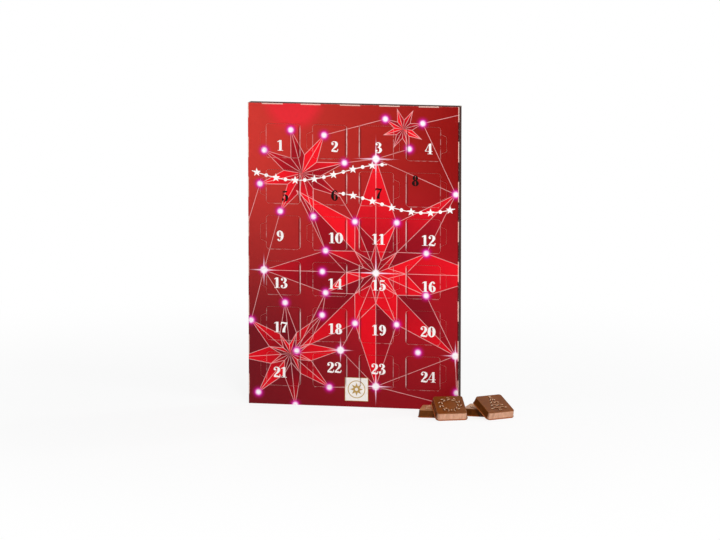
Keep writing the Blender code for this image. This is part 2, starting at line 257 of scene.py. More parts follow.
class Look:
    """A material under construction: one Principled shader, and the colour laid on it so far.

    Its x, y and z are the place on the piece in millimetres.
    """

    def __init__(self, name):
        self.material = bpy.data.materials.new(name)
        self.material.use_nodes = True
        self.tree = self.material.node_tree
        self.shader = self.tree.nodes["Principled BSDF"]
        self.place = self.node("TexCoord").outputs["Object"]
        self.x, self.y, self.z = (part * IN_MM for part in self.parts(self.place))
        self.colour = None

    def node(self, kind, **settings):
        made = self.tree.nodes.new("ShaderNode" + kind)
        for name, value in settings.items():
            setattr(made, name, value)
        return made

    def parts(self, vector):
        """A vector as three fields."""
        split = self.node("SeparateXYZ")
        self.tree.links.new(vector, split.inputs[0])
        return [Field(self.tree, output) for output in split.outputs]

    def vector(self, *parts):
        node = self.node("CombineXYZ")
        wire(self.tree, node.inputs, parts)
        return node.outputs[0]

    def stored(self, name, output="Fac"):
        """What the mesh carries at its points, as a number or a vector."""
        return self.node("Attribute", attribute_name=name).outputs[output]

    def noise(self, scale, detail=3.0, roughness=0.55, place=None, stretch=None):
        """Smooth noise about a mean of one half; scale is in lumps per metre."""
        source = place or self.place
        if stretch:
            mapping = self.node("Mapping")
            wire(self.tree, [mapping.inputs["Scale"], mapping.inputs["Vector"]], (stretch, source))
            source = mapping.outputs["Vector"]
        node = self.node("TexNoise")
        slots = [node.inputs[name] for name in ("Scale", "Detail", "Roughness", "Vector")]
        wire(self.tree, slots, (scale, detail, roughness, source))
        return Field(self.tree, node.outputs["Fac"])

    def mix(self, share, first, second):
        """A colour between two, each a socket, linear values with alpha, or three numbers of 0 to 255."""
        node = self.node("Mix", data_type="RGBA", clamp_factor=True)
        colours = [srgb(*c) if isinstance(c, tuple) and len(c) == 3 else c for c in (first, second)]
        wire(self.tree, (node.inputs[0], node.inputs[6], node.inputs[7]), (share, *colours))
        return node.outputs[2]

    def coat(self, share, colour):
        """Lays a colour over what is there."""
        self.colour = self.mix(share, self.colour, colour)

    def set(self, **values):
        """Uniform values, straight on the shader's sockets."""
        for name, value in values.items():
            self.shader.inputs[name.replace("_", " ")].default_value = value

    def finish(self, roughness, height):
        """Feeds the colour, the roughness and the fine relief to the shader."""
        node = self.node("Bump")
        node.inputs["Strength"].default_value = 1.0
        node.inputs["Distance"].default_value = MM
        wire(self.tree, [node.inputs["Height"]], [height])
        slots = [self.shader.inputs[name] for name in ("Base Color", "Roughness", "Normal")]
        wire(self.tree, slots, (self.colour, roughness, node.outputs[0]))
        return self


# Outlines and meshes


def rounded_rectangle(half_width, half_height, radius, steps=CORNER_STEPS):
    """Corner arcs, anticlockwise from the right side's upper end, as (x, z) points."""
    outline = []
    for turn, (side, end) in enumerate([(1, 1), (-1, 1), (-1, -1), (1, -1)]):
        centre_x = side * (half_width - radius)
        centre_z = end * (half_height - radius)
        for step in range(steps + 1):
            angle = (turn + step / steps) * pi / 2
            outline.append((centre_x + radius * cos(angle), centre_z + radius * sin(angle)))
    return outline


def door_outline(tab_side, grow=0.0, nicks=False, crease_grow=None):
    """A door with its thumb tab, round its middle; grow widens it all round, crease_grow at its crease."""
    half_width = DOOR_WIDTH / 2 + grow
    top = DOOR_HEIGHT / 2 + grow
    outline = rounded_rectangle(half_width, top, DOOR_CORNER + grow)
    if crease_grow is not None:
        share = (DOOR_WIDTH / 2 + crease_grow) / half_width
        outline = [(x * share if x < 0 else x, z) for x, z in outline]
    if nicks:
        row = []
        span = DOOR_WIDTH - 2.4 * DOOR_CORNER
        taper = NICK_WIDTH * 0.36
        for nick in range(NICKS):
            x = span * (0.5 - (nick + 0.5) / NICKS)
            row += [(x + NICK_WIDTH / 2, top), (x + taper, top + NICK_REACH)]
            row += [(x - taper, top + NICK_REACH), (x - NICK_WIDTH / 2, top)]
        outline[CORNER_STEPS + 1:CORNER_STEPS + 1] = row
    flare = (TAB_ROOT - TAB_TIP) / 2 / TAB_REACH
    widen = grow * hypot(1, flare) - grow * flare
    root = TAB_ROOT / 2 + widen
    tip = TAB_TIP / 2 + widen
    reach = half_width + TAB_REACH
    lean = atan(flare)
    radius = TAB_ROUND + grow
    setback = radius * tan((pi / 2 - lean) / 2)
    tab = [(half_width, -root)]
    for end in (-1, 1):
        centre = Vector((reach - radius, end * (tip - setback)))
        angles = [end * (pi / 2 - lean) * step / 3 for step in range(4)]
        if end < 0:
            angles.reverse()
        tab += [(centre.x + radius * cos(a), centre.y + radius * sin(a)) for a in angles]
    tab.append((half_width, root))
    outline = tab + outline
    if tab_side < 0:
        outline = [(-x, z) for x, z in reversed(outline)]
    return outline


def door_place(number):
    """A door's middle as x and z, and the side that its tab is on."""
    low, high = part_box(f"door_{number:02d}")
    tab_side = -1 if (number - 1) % COLUMNS < COLUMNS / 2 else 1
    x = (low.x + high.x - tab_side * TAB_REACH) / 2
    return x, (low.z + high.z) / 2, tab_side


class Shape:
    """Points and faces of a mesh that is put together from rings."""

    def __init__(self):
        self.points = []
        self.faces = []

    def ring(self, points):
        first = len(self.points)
        self.points.extend(points)
        return list(range(first, len(self.points)))

    def level(self, outline, y, x=0.0, z=0.0):
        """A ring in the XZ plane, moved by x and z."""
        return self.ring([(x + u, y, z + w) for u, w in outline])

    def bridge(self, first, second, closed=True):
        count = len(first)
        for index in range(count if closed else count - 1):
            after = (index + 1) % count
            self.faces.append((first[index], first[after], second[after], second[index]))

    def skin(self, rings):
        """Faces from each ring to the next."""
        for first, second in zip(rings, rings[1:]):
            self.bridge(first, second)

    def caps(self, first, last):
        """A face over each end."""
        self.faces.append(tuple(first))
        self.faces.append(tuple(reversed(last)))

    def fill(self, rings):
        """Faces in the XZ plane between an outline and the holes in it."""
        flat = [index for ring in rings for index in ring]
        loops = [[Vector((self.points[i][0], self.points[i][2], 0)) for i in ring] for ring in rings]
        for triangle in tessellate_polygon(loops):
            self.faces.append(tuple(flat[index] for index in triangle))

    def piece(self, name, look, smooth=30.0):
        """The finished object, faces out, at the origin."""
        mesh = bpy.data.meshes.new(name)
        mesh.from_pydata([tuple(point) for point in self.points], [], self.faces)
        bm = bmesh.new()
        bm.from_mesh(mesh)
        bmesh.ops.remove_doubles(bm, verts=bm.verts, dist=0.000001)
        bmesh.ops.recalc_face_normals(bm, faces=bm.faces)
        bm.to_mesh(mesh)
        bm.free()
        mesh.shade_smooth()
        mesh.set_sharp_from_angle(angle=radians(smooth))
        mesh.materials.append(look.material)
        made = bpy.data.objects.new(name, mesh)
        bpy.context.scene.collection.objects.link(made)
        return made


def finish_piece(piece, body, slot, *nodes):
    """Ties a piece to its body and hides the solids that it stands for; slot is not used."""
    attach(piece, body)
    if nodes:
        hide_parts(*nodes)


# Carton


def build_front(look):
    """The front panel: cut windows with rolled edges, and an outer edge rolled to the folds."""
    shape = Shape()

    def outer(shrink, y):
        corner = max(FOLD_RADIUS * 1.2 - shrink, 0.05 * MM)
        outline = rounded_rectangle(HALF_WIDTH - shrink, HEIGHT / 2 - shrink, corner, 3)
        return shape.level(outline, y, z=HEIGHT / 2)

    def windows(out, y):
        made = []
        for number in range(1, DOORS + 1):
            x, z, tab_side = door_place(number)
            hole = door_outline(tab_side, CUT_GAP + out, crease_grow=CUT_GAP + max(out, 0.0))
            made.append(shape.level(hole, y, x, z))
        return made

    turns = [step / FOLD_STEPS * pi / 2 for step in range(FOLD_STEPS + 1)]
    rings = [outer(FOLD_RADIUS * (1 - sin(a)), FRONT + FOLD_RADIUS * (1 - cos(a))) for a in turns]
    levels = [windows(out * MM, FRONT + deep * MM) for out, deep in ROLLED_EDGE]
    levels.append(windows(0.0, FRONT + BOARD))
    rings.append(outer(0.0, FRONT + BOARD))
    shape.skin(rings)
    for hole in zip(*levels):
        shape.skin(hole)
    shape.fill([rings[0]] + levels[0])
    shape.fill([rings[-1]] + levels[-1])
    finish_piece(shape.piece("carton_front", look), "carton", "printed_board", "front_panel")


def build_sleeve(look):
    """Sides and back in one sheet, with rounded folds, from one front edge to the other."""
    shape = Shape()
    start_y = FRONT + BOARD + PANEL_GAP

    def profile(inset):
        radius = FOLD_RADIUS + BOARD - inset
        x = HALF_WIDTH - inset
        points = [(x, start_y)]
        for turn, side in enumerate((1, -1)):
            for step in range(FOLD_STEPS + 1):
                angle = (turn + step / FOLD_STEPS) * pi / 2
                y = BACK - inset - radius + radius * sin(angle)
                points.append((side * (x - radius) + radius * cos(angle), y))
        return points + [(-x, start_y)]

    loop = profile(0.0) + profile(BOARD)[::-1]
    low, high = (shape.ring([(x, y, z) for x, y in loop]) for z in (0.0, HEIGHT))
    shape.bridge(low, high)
    half = len(loop) // 2
    for ring in (low, high):
        shape.bridge(ring[:half], ring[half:][::-1], closed=False)
    nodes = ("left_side_panel", "right_side_panel", "back_panel")
    finish_piece(shape.piece("carton_sleeve", look), "carton", "plain_board", *nodes)


def build_end(name, node, look, outside_z, inward):
    """A glued end flap with rounded long edges."""
    low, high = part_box(node)
    shape = Shape()
    edge = 0.25 * MM
    front_y = FRONT + BOARD + PANEL_GAP
    inner_z = outside_z + inward * BOARD
    loop = [
        (front_y, outside_z + inward * edge * 0.3), (front_y + edge, outside_z), (high.y - edge, outside_z),
        (high.y, outside_z + inward * edge), (high.y, inner_z), (front_y, inner_z),
    ]
    left, right = (shape.ring([(x, y, z) for y, z in loop]) for x in (low.x, high.x))
    shape.bridge(left, right)
    shape.caps(left, right)
    finish_piece(shape.piece(name, look), "carton", "plain_board", node)


def add_crease(shape, x, z):
    """The pressed ridge of a fold, round about the door's axis, so that it stays put as the door turns."""
    half = DOOR_HEIGHT / 2 - DOOR_CORNER
    sections = [(-half, 0.3), (-half + 0.4 * MM, 0.8), (-half + 1.0 * MM, 1.0)]
    sections += [(-up, share) for up, share in reversed(sections)]
    turns = [2 * pi * step / CREASE_STEPS for step in range(CREASE_STEPS)]
    rings = []
    for up, share in sections:
        radius = CREASE_RADIUS * share
        rings.append(shape.ring([(x + radius * cos(a), FRONT + radius * sin(a), z + up) for a in turns]))
    shape.skin(rings)
    shape.caps(rings[0], rings[-1])


def build_door(number, look):
    """A door with its rolled cut edge and creased fold."""
    shape = Shape()
    x, z, tab_side = door_place(number)
    levels = [
        shape.level(door_outline(tab_side, -out * MM, True, min(-out * MM, 0.0)), FRONT + deep * MM, x, z)
        for out, deep in ROLLED_EDGE + [(0.0, BOARD / MM)]
    ]
    shape.skin(levels)
    shape.fill([levels[0]])
    shape.fill([levels[-1]])
    add_crease(shape, x - tab_side * DOOR_WIDTH / 2, z)
    node = f"door_{number:02d}"
    finish_piece(shape.piece(f"{node}_board", look), node, "printed_board", node)


# Numbers


def oval(centre_x, centre_y, reach_x, reach_y, thick, thin):
    """A closed stroke that is thick where it runs upright."""
    stroke = []
    for step in range(OVAL_STEPS):
        angle = step / OVAL_STEPS * 2 * pi
        width = thin + (thick - thin) * abs(cos(angle)) ** 1.7
        stroke.append((centre_x + reach_x * cos(angle), centre_y + reach_y * sin(angle), width))
    return stroke


SIX_BOWL = [
    (0.47, 0.90, 0.03), (0.40, 0.965, 0.045), (0.28, 0.93, 0.09), (0.17, 0.76, 0.16), (0.125, 0.50, 0.20),
    (0.145, 0.26, 0.19), (0.215, 0.09, 0.11), (0.31, 0.025, 0.045), (0.41, 0.075, 0.11), (0.475, 0.24, 0.17),
    (0.46, 0.42, 0.15), (0.38, 0.555, 0.06), (0.30, 0.565, 0.04), (0.21, 0.50, 0.03),
]
NINE_BOWL = [(0.62 - x, 1 - y, width) for x, y, width in SIX_BOWL]

# Each digit is its width, its strokes as (x, y, thickness), its balls as (x, y, radius) and its plates
DIGITS = {
    "0": (0.64, [oval(0.32, 0.5, 0.205, 0.475, 0.22, 0.045)], [], []),
    "1": (0.56, [], [], [
        [(0.19, 0.02), (0.39, 0.02), (0.39, 1.0), (0.19, 1.0)],
        [(0.20, 0.99), (0.04, 0.86), (0.04, 0.82), (0.20, 0.86)],
        [(0.06, 0.0), (0.52, 0.0), (0.52, 0.04), (0.06, 0.04)],
    ]),
    "2": (0.61, [
        [(0.065, 0.74, 0.03), (0.09, 0.87, 0.045), (0.19, 0.965, 0.045), (0.32, 0.965, 0.06),
         (0.43, 0.87, 0.16), (0.46, 0.70, 0.20), (0.38, 0.50, 0.15), (0.22, 0.31, 0.08), (0.07, 0.13, 0.045)],
        [(0.05, 0.05, 0.07), (0.15, 0.10, 0.14), (0.28, 0.085, 0.15), (0.42, 0.06, 0.12), (0.50, 0.07, 0.08),
         (0.55, 0.16, 0.045), (0.565, 0.28, 0.035)],
    ], [(0.14, 0.745, 0.092)], []),
    "3": (0.60, [
        [(0.075, 0.80, 0.03), (0.12, 0.92, 0.04), (0.23, 0.975, 0.04), (0.36, 0.93, 0.10),
         (0.43, 0.78, 0.18), (0.37, 0.61, 0.11), (0.24, 0.535, 0.035)],
        [(0.22, 0.53, 0.035), (0.35, 0.505, 0.07), (0.455, 0.38, 0.17), (0.465, 0.22, 0.19),
         (0.38, 0.06, 0.11), (0.24, 0.02, 0.04), (0.11, 0.06, 0.04), (0.06, 0.20, 0.03)],
    ], [(0.145, 0.80, 0.085), (0.135, 0.205, 0.09)], []),
    "4": (0.65, [], [], [
        [(0.34, 0.02), (0.53, 0.02), (0.53, 1.0), (0.40, 1.0), (0.34, 0.90)],
        [(0.40, 0.99), (0.36, 0.99), (0.02, 0.29), (0.03, 0.25), (0.08, 0.29)],
        [(0.02, 0.25), (0.63, 0.25), (0.63, 0.295), (0.02, 0.295)],
        [(0.23, 0.0), (0.63, 0.0), (0.63, 0.04), (0.23, 0.04)],
    ]),
    "5": (0.60, [
        [(0.13, 0.50, 0.03), (0.20, 0.58, 0.045), (0.32, 0.60, 0.09), (0.43, 0.48, 0.18),
         (0.46, 0.30, 0.20), (0.40, 0.10, 0.13), (0.27, 0.02, 0.045), (0.13, 0.05, 0.04), (0.06, 0.19, 0.03)],
    ], [(0.135, 0.205, 0.09)], [
        [(0.115, 0.49), (0.15, 0.49), (0.15, 0.99), (0.115, 0.99)],
        [(0.12, 0.98), (0.12, 0.84), (0.40, 0.84), (0.47, 0.89), (0.51, 1.0), (0.30, 0.985)],
    ]),
    "6": (0.62, [SIX_BOWL], [(0.445, 0.85, 0.075)], []),
    "7": (0.60, [
        [(0.55, 0.90, 0.05), (0.46, 0.72, 0.07), (0.36, 0.50, 0.13), (0.29, 0.24, 0.19), (0.28, 0.0, 0.22)],
        [(0.045, 0.72, 0.03), (0.06, 0.82, 0.035), (0.10, 0.90, 0.06)],
    ], [], [
        [(0.045, 0.98), (0.06, 0.84), (0.16, 0.86), (0.32, 0.82), (0.47, 0.80), (0.57, 0.86), (0.575, 1.0),
         (0.48, 0.95), (0.32, 0.98), (0.16, 1.0)],
    ]),
    "8": (0.62, [
        oval(0.31, 0.755, 0.125, 0.222, 0.17, 0.045), oval(0.31, 0.265, 0.165, 0.243, 0.21, 0.045),
    ], [], []),
    "9": (0.62, [NINE_BOWL], [(0.175, 0.15, 0.075)], []),
}


def smooth_stroke(points):
    """A finer run of points through a stroke's own."""
    last = len(points) - 1
    finer = []
    for index in range(last):
        before, here, after = points[max(index - 1, 0)], points[index], points[index + 1]
        beyond = points[min(index + 2, last)]
        for step in range(5):
            t = step / 5
            finer.append(0.5 * (
                2 * here + (after - before) * t
                + (2 * before - 5 * here + 4 * after - beyond) * t**2
                + (3 * here - before - 3 * after + beyond) * t**3
            ))
    return finer + [points[-1]]


def add_stroke(shape, stroke, at, ink_front, ink_back):
    """A stroke of ink as a thin closed slab."""
    closed = len(stroke) == OVAL_STEPS
    run = [Vector(point) for point in stroke]
    if not closed:
        run = smooth_stroke(run)
    last = len(run) - 1
    left, right = [], []
    for index, point in enumerate(run):
        before = run[index - 1 if closed else max(index - 1, 0)]
        after = run[(index + 1) % len(run) if closed else min(index + 1, last)]
        along = (after - before).to_2d().normalized()
        side = Vector((-along.y, along.x)) * max(point.z + STROKE_GAIN, THINNEST_STROKE) / 2
        left.append(at(point.x + side.x, point.y + side.y))
        right.append(at(point.x - side.x, point.y - side.y))
    section = [(left, ink_front), (right, ink_front), (right, ink_back), (left, ink_back)]
    rows = [shape.level(side, y) for side, y in section]
    for first, second in zip(rows, rows[1:] + rows[:1]):
        shape.bridge(first, second, closed=closed)
    if not closed:
        shape.caps([row[0] for row in rows], [row[-1] for row in rows])


def add_plate(shape, outline, at, ink_front, ink_back):
    """A flat patch of ink as a thin closed slab."""
    places = [at(x, y) for x, y in outline]
    near, far = shape.level(places, ink_front), shape.level(places, ink_back)
    shape.bridge(near, far)
    shape.fill([near])
    shape.fill([far])


def build_number(number, centre, look):
    """A day's number in ink on its door."""
    shape = Shape()
    start = -sum(DIGITS[digit][0] for digit in str(number)) / 2
    ink_front = FRONT - INK
    turns = [step * 2 * pi / BALL_STEPS for step in range(BALL_STEPS)]
    for digit in str(number):
        width, strokes, balls, plates = DIGITS[digit]

        def at(x, y):
            across = (start + x) * NUMBER_HEIGHT * NUMBER_WIDEN
            return centre[0] + across, centre[1] + (y - 0.5) * NUMBER_HEIGHT

        discs = [[(x + r * cos(a), y + r * sin(a)) for a in turns] for x, y, r in balls]
        for add, forms in ((add_stroke, strokes), (add_plate, plates + discs)):
            for form in forms:
                ink_front -= INK_LAYER
                add(shape, form, at, ink_front, FRONT + INK)
        start += width
    finish_piece(shape.piece(f"number_{number:02d}", look), f"door_{number:02d}", "printed_board")


def number_place(number):
    """Where a number's middle lies on the front, from its pixel in the photograph."""
    x_px, y_px = NUMBER_PX[number - 1]
    across = (x_px - FRONT_LEFT_PX) / (FRONT_RIGHT_PX - FRONT_LEFT_PX)
    down = (y_px - FRONT_TOP_PX) / (FRONT_BOTTOM_PX - FRONT_TOP_PX)
    return (across * 2 - 1) * HALF_WIDTH, (1 - down) * HEIGHT


# Tray


def build_tray(look):
    """The formed sheet: rolled skirt, flat flange, and pockets with rounded lips and floors."""
    shape = Shape()
    sheet = 0.4 * MM
    middle_x, middle_z = (TRAY_LOW.x + TRAY_HIGH.x) / 2, (TRAY_LOW.z + TRAY_HIGH.z) / 2
    half_x, half_z = (TRAY_HIGH.x - TRAY_LOW.x) / 2, (TRAY_HIGH.z - TRAY_LOW.z) / 2
    pocket_profile = [(19.5, 0.0), (19.25, 0.04), (19.02, 0.16), (18.88, 0.36), (18.8, 0.62)]
    pocket_profile += [(17.10, 8.6), (16.95, 9.25), (16.6, 9.72), (16.1, 9.97), (15.4, 10.1)]
    skirt_profile = [(1.4, 0.0), (0.86, 0.09), (0.42, 0.36), (0.12, 0.78), (0.0, 1.3)]

    def skirt(offset):
        levels = [(inset * MM + offset, TRAY_LOW.y + deep * MM + offset) for inset, deep in skirt_profile]
        rings = []
        for inset, y in levels + [(offset, TRAY_HIGH.y)]:
            outline = rounded_rectangle(half_x - inset, half_z - inset, 3.0 * MM - offset, 6)
            rings.append(shape.level(outline, y, middle_x, middle_z))
        shape.skin(rings)
        return rings

    def pocket(x, z, offset):
        rings = []
        for half, deep in pocket_profile:
            reach = half * MM + offset
            corner = max(4.0 - (18.8 - half) * 0.6, 1.6) * MM + offset
            outline = rounded_rectangle(reach, reach, corner, 6)
            rings.append(shape.level(outline, TRAY_LOW.y + deep * MM + offset, x, z))
        shape.skin(rings)
        shape.faces.append(tuple(rings[-1]))
        return rings[0]

    feet = []
    for offset in (0.0, sheet):
        rings = skirt(offset)
        mouths = [pocket(*door_place(number)[:2], offset) for number in range(1, DOORS + 1)]
        shape.fill([rings[0]] + mouths)
        feet.append(rings[-1])
    shape.bridge(*feet)
    finish_piece(shape.piece("tray_sheet", look), "carton", "tray_plastic", "chocolate_tray")


# Chocolates


def rounded_square(direction_u, direction_v, half, corner):
    """Points on rounded squares, for directions on the unit square."""
    x = np.abs(direction_u * half)
    y = np.abs(direction_v * half)
    core = half - corner
    in_corner = (x > core) & (y > core)
    scale = np.where(in_corner, corner / np.maximum(np.hypot(x - core, y - core), 1e-9), 1.0)
    x = np.where(in_corner, core + (x - core) * scale, x)
    y = np.where(in_corner, core + (y - core) * scale, y)
    return np.sign(direction_u) * x, np.sign(direction_v) * y


def polygon_distance(x, y, corners):
    """Signed distance to a polygon, negative inside, in the units of its corners."""
    least = np.full(x.shape, 1e9)
    inside = np.zeros(x.shape, dtype=bool)
    for (ax, ay), (bx, by) in zip(corners, corners[1:] + corners[:1]):
        edge_x, edge_y = bx - ax, by - ay
        share = np.clip(((x - ax) * edge_x + (y - ay) * edge_y) / (edge_x**2 + edge_y**2), 0, 1)
        least = np.minimum(least, np.hypot(x - ax - share * edge_x, y - ay - share * edge_y))
        crosses = (ay > y) != (by > y)
        slope = (bx - ax) / (by - ay) if by != ay else 0.0
        inside ^= crosses & (x < (y - ay) * slope + ax)
    return np.where(inside, -least, least)


def raised(distance, edge=0.008):
    """One inside a shape and zero outside, with a soft edge."""
    share = np.clip(0.5 - distance / (2 * edge), 0, 1)
    return share * share * (3 - 2 * share)


def ridge(distance, width):
    """A rounded ridge along an outline, or a dome about a point."""
    return np.sqrt(np.clip(1 - (distance / width) ** 2, 0, 1))


def highest(*heights):
    return np.maximum.reduce(heights)


def gift_height(x, y):
    """A ribboned box with a lid and a bow of two loops."""
    x = np.abs(x)
    box, lid = (polygon_distance(x, y, corners) for corners in (
        [(0.028, -0.27), (0.205, -0.27), (0.205, 0.02), (0.028, 0.02)],
        [(0.028, 0.045), (0.228, 0.045), (0.228, 0.125), (0.028, 0.125)],
    ))
    loop = polygon_distance(
        x, y, [(0.012, 0.148), (0.10, 0.155), (0.20, 0.195), (0.175, 0.268), (0.08, 0.262)])
    return highest(
        0.62 * raised(box), ridge(box + 0.010, 0.012), 0.62 * raised(lid), ridge(lid + 0.010, 0.012),
        0.45 * raised(loop), ridge(loop + 0.012, 0.013), 0.9 * ridge(np.hypot(x, y - 0.15), 0.026),
    )


def bauble_height(x, y):
    """A round bauble in three bands, with its cap and hanging loop."""
    reach = np.hypot(x, y + 0.05)
    ball = reach - 0.235
    height = 0.55 * raised(ball) * (0.75 + 0.25 * ridge(reach, 0.24))
    for level in (-0.145, 0.045):
        band = np.abs(y - level + 0.02 - 0.35 * (x**2))
        height = np.where(ball < -0.02, height * (1 - 0.75 * raised(band - 0.009, 0.006)), height)
    cap = polygon_distance(x, y, [(-0.055, 0.20), (0.055, 0.20), (0.055, 0.252), (-0.055, 0.252)])
    loop = np.hypot(x, y - 0.285) - 0.024
    return highest(height, ridge(ball + 0.008, 0.013), 0.9 * raised(cap), ridge(loop, 0.010))


def tree_height(x, y):
    """A fir tree of four boughs with a trunk and a star on top."""
    heights = []
    for low, foot, head in (
        (-0.20, 0.235, 0.135), (-0.085, 0.185, 0.095), (0.03, 0.135, 0.055), (0.145, 0.085, 0.012),
    ):
        top = low + 0.088
        dip = 0.016 * np.cos(x / foot * pi * 2.5)
        bough = polygon_distance(x, y + dip, [(-foot, low), (foot, low), (head, top), (-head, top)])
        heights.append((0.60 + 0.40 * np.clip((top - y) / 0.09, 0, 1)) * raised(bough))
    trunk = polygon_distance(x, y, [(-0.04, -0.30), (0.04, -0.30), (0.04, -0.222), (-0.04, -0.222)])
    points = 0.030 * (1 + 0.28 * np.cos(5 * np.arctan2(x, y - 0.275)))
    return highest(*heights, 0.75 * raised(trunk), raised(np.hypot(x, y - 0.275) - points, 0.007))


def wreath_height(x, y):
    """A ring of leaf pairs with a bow at its foot."""
    heights = [ridge(np.hypot(x, y + 0.205), 0.024)]
    leaves = 9
    gap = radians(84)
    for leaf in range(leaves):
        angle = (gap - pi) / 2 + (2 * pi - gap) * leaf / (leaves - 1)
        for side in (-1, 1):
            reach = 0.205 + side * 0.024
            tilt = angle + pi / 2 - side * 0.55
            dx, dy = x - cos(angle) * reach, y - sin(angle) * reach
            along = (dx * cos(tilt) + dy * sin(tilt)) / 0.050
            across = (dy * cos(tilt) - dx * sin(tilt)) / (0.021 * (1 - 0.35 * np.clip(along, -1, 1)))
            heights.append(ridge(np.hypot(along, across), 1.0))
    for side in (-1, 1):
        bow = polygon_distance(side * x, y, [(0.006, -0.205), (0.078, -0.252), (0.072, -0.158)])
        heights.append(0.9 * raised(bow, 0.010))
    return highest(*heights)


def wobble(u, v, seed):
    """A gentle unevenness of a cast surface, of about one unit."""
    return (
        np.sin(5.1 * u + 3.7 * v + seed) + np.sin(-7.3 * u + 6.1 * v + 2.1 * seed)
        + np.sin(12.7 * u + 9.4 * v + 3.3 * seed) * 0.5
    ) / 2.5


# Each design's relief, and how much larger than drawn it is cast
DESIGNS = {
    "gift": (gift_height, 1.30),
    "bauble": (bauble_height, 1.22),
    "tree": (tree_height, 1.22),
    "wreath": (wreath_height, 1.40),
}


def edges_of(height, reach):
    """How far each point of a relief stands above its surroundings."""
    blurred = height
    for axis in (0, 1):
        spread = [np.roll(blurred, shift, axis) for shift in range(-reach, reach + 1)]
        blurred = sum(spread) / len(spread)
    return height - blurred


def chocolate_mesh(name, design, grid, fine_base, seed, dust_and_painted_light=0.0):
    """A cast chocolate: flash round the base, drafted sides, soft top edge and relief."""
    half = CHOCOLATE_SIZE / 2
    lines = np.linspace(-1, 1, grid + 1)
    u, v = np.meshgrid(lines, lines)
    reach = np.maximum(np.maximum(np.abs(u), np.abs(v)), 1e-9)
    way_u, way_v = u / reach, v / reach
    settle = np.clip((reach - 0.55) / 0.45, 0, 1)
    settle = settle * settle * (3 - 2 * settle)
    rows = np.array([0] * grid + list(range(grid)) + [grid] * grid + list(range(grid, 0, -1)))
    columns = np.roll(rows, -grid)
    edge_u, edge_v = way_u[rows, columns], way_v[rows, columns]
    shape = Shape()
    # Relief edges, kept for the painted highlights and painted shade on the relief
    painted_relief_light = []

    def sheet(half, corner, height, flip):
        x, y = rounded_square(way_u, way_v, half * reach, corner * settle * reach)
        z = height(x, y)
        first = shape.ring(zip(x.ravel().tolist(), y.ravel().tolist(), z.ravel().tolist()))[0]
        for row in range(grid):
            for column in range(grid):
                a = first + row * (grid + 1) + column
                quad = (a, a + 1, a + grid + 2, a + grid + 1)
                shape.faces.append(quad[::-1] if flip else quad)
        return (first + rows * (grid + 1) + columns).tolist()

    def ring(half, z, ragged=0.0):
        corner = CAST_CORNER - (CHOCOLATE_SIZE / 2 - half)
        way = np.arctan2(edge_v, edge_u)
        waver = 1 + 0.5 * np.sin(9 * way + seed) + 0.5 * np.sin(23 * way + 2 * seed)
        x, y = rounded_square(edge_u, edge_v, half - ragged * waver / 2, corner)
        return shape.ring([(a, b, z) for a, b in zip(x.tolist(), y.tolist())])

    def inside_by(x, y, margin, run):
        """Zero at a margin from the side, and one a run further in."""
        return np.clip((half - margin * MM - np.maximum(np.abs(x), np.abs(y))) / (run * MM), 0, 1)

    def top_height(x, y):
        fade = inside_by(x, y, 3.6, 1.2)
        relief, grow = DESIGNS[design]
        form = relief(x / CHOCOLATE_SIZE / grow, y / CHOCOLATE_SIZE / grow)
        edges = edges_of(form, max(grid // 26, 1))
        painted_relief_light.append(edges.ravel())
        lift = np.minimum(form + 0.75 * edges, 1.0) * RELIEF_HEIGHT
        uneven = 0.03 * MM * wobble(x / CHOCOLATE_SIZE * 3, y / CHOCOLATE_SIZE * 3, seed) * fade
        return CHOCOLATE_THICKNESS + lift - 0.03 * MM * fade + uneven

    def base_height(x, y):
        inset = inside_by(x, y, 0.9, 1.6)
        swirl = wobble(x / CHOCOLATE_SIZE * 4, y / CHOCOLATE_SIZE * 4, seed + 1.7)
        off_x, off_y = 0.10 * sin(2.3 * seed), 0.12 * cos(1.7 * seed)
        drop = np.hypot(x / CHOCOLATE_SIZE - off_x, y / CHOCOLATE_SIZE - off_y)
        rings = np.cos(drop * 42) * np.exp(-drop * 7.5)
        return (0.32 + 0.07 * swirl + 0.10 * rings) * MM * inset * inset * (3 - 2 * inset)

    foot = half - 0.7 * MM
    shoulder = foot - 1.0 * MM
    top = shoulder - TOP_ROUND
    ragged = 0.22 * MM
    if fine_base:
        levels = [sheet(half - 0.35 * MM, CAST_CORNER, base_height, True)]
    else:
        levels = [ring(half - 4.0 * MM, 0.12 * MM), ring(half - 0.35 * MM, 0.0)]
        shape.faces.append(tuple(reversed(levels[0])))
    levels += [
        ring(half - 0.06 * MM, 0.14 * MM, ragged),
        ring(half, 0.40 * MM, ragged),
        ring(half - 0.10 * MM, 0.66 * MM, ragged),
        ring(foot + 0.16 * MM, 0.80 * MM, ragged / 2),
        ring(foot, 0.98 * MM),
        ring((foot + shoulder) / 2, 4.4 * MM),
        ring(shoulder, CHOCOLATE_THICKNESS - 0.85 * MM),
    ]
    for step in (1, 2, 3):
        angle = step / 4 * pi / 2
        levels.append(ring(
            shoulder - TOP_ROUND * (1 - cos(angle)), CHOCOLATE_THICKNESS - TOP_ROUND * (1 - sin(angle))))
    levels.append(sheet(top, CAST_CORNER - (half - top), top_height, False))
    shape.skin(levels)
    mesh = bpy.data.meshes.new(name)
    mesh.from_pydata(shape.points, [], shape.faces)
    mesh.shade_smooth()
    mesh.set_sharp_from_angle(angle=radians(50))
    count = len(shape.points)
    for stored, kind, field, values in (
        ("cast", "FLOAT_VECTOR", "vector", np.array(shape.points).ravel()),
        ("relief_light_and_shade", "FLOAT", "value", np.concatenate([np.zeros(count - len(painted_relief_light[0])), painted_relief_light[0]])),
        ("dust_and_painted_light", "FLOAT", "value", np.full(count, dust_and_painted_light)),
    ):
        mesh.attributes.new(stored, kind, "POINT").data.foreach_set(field, values)
    return mesh


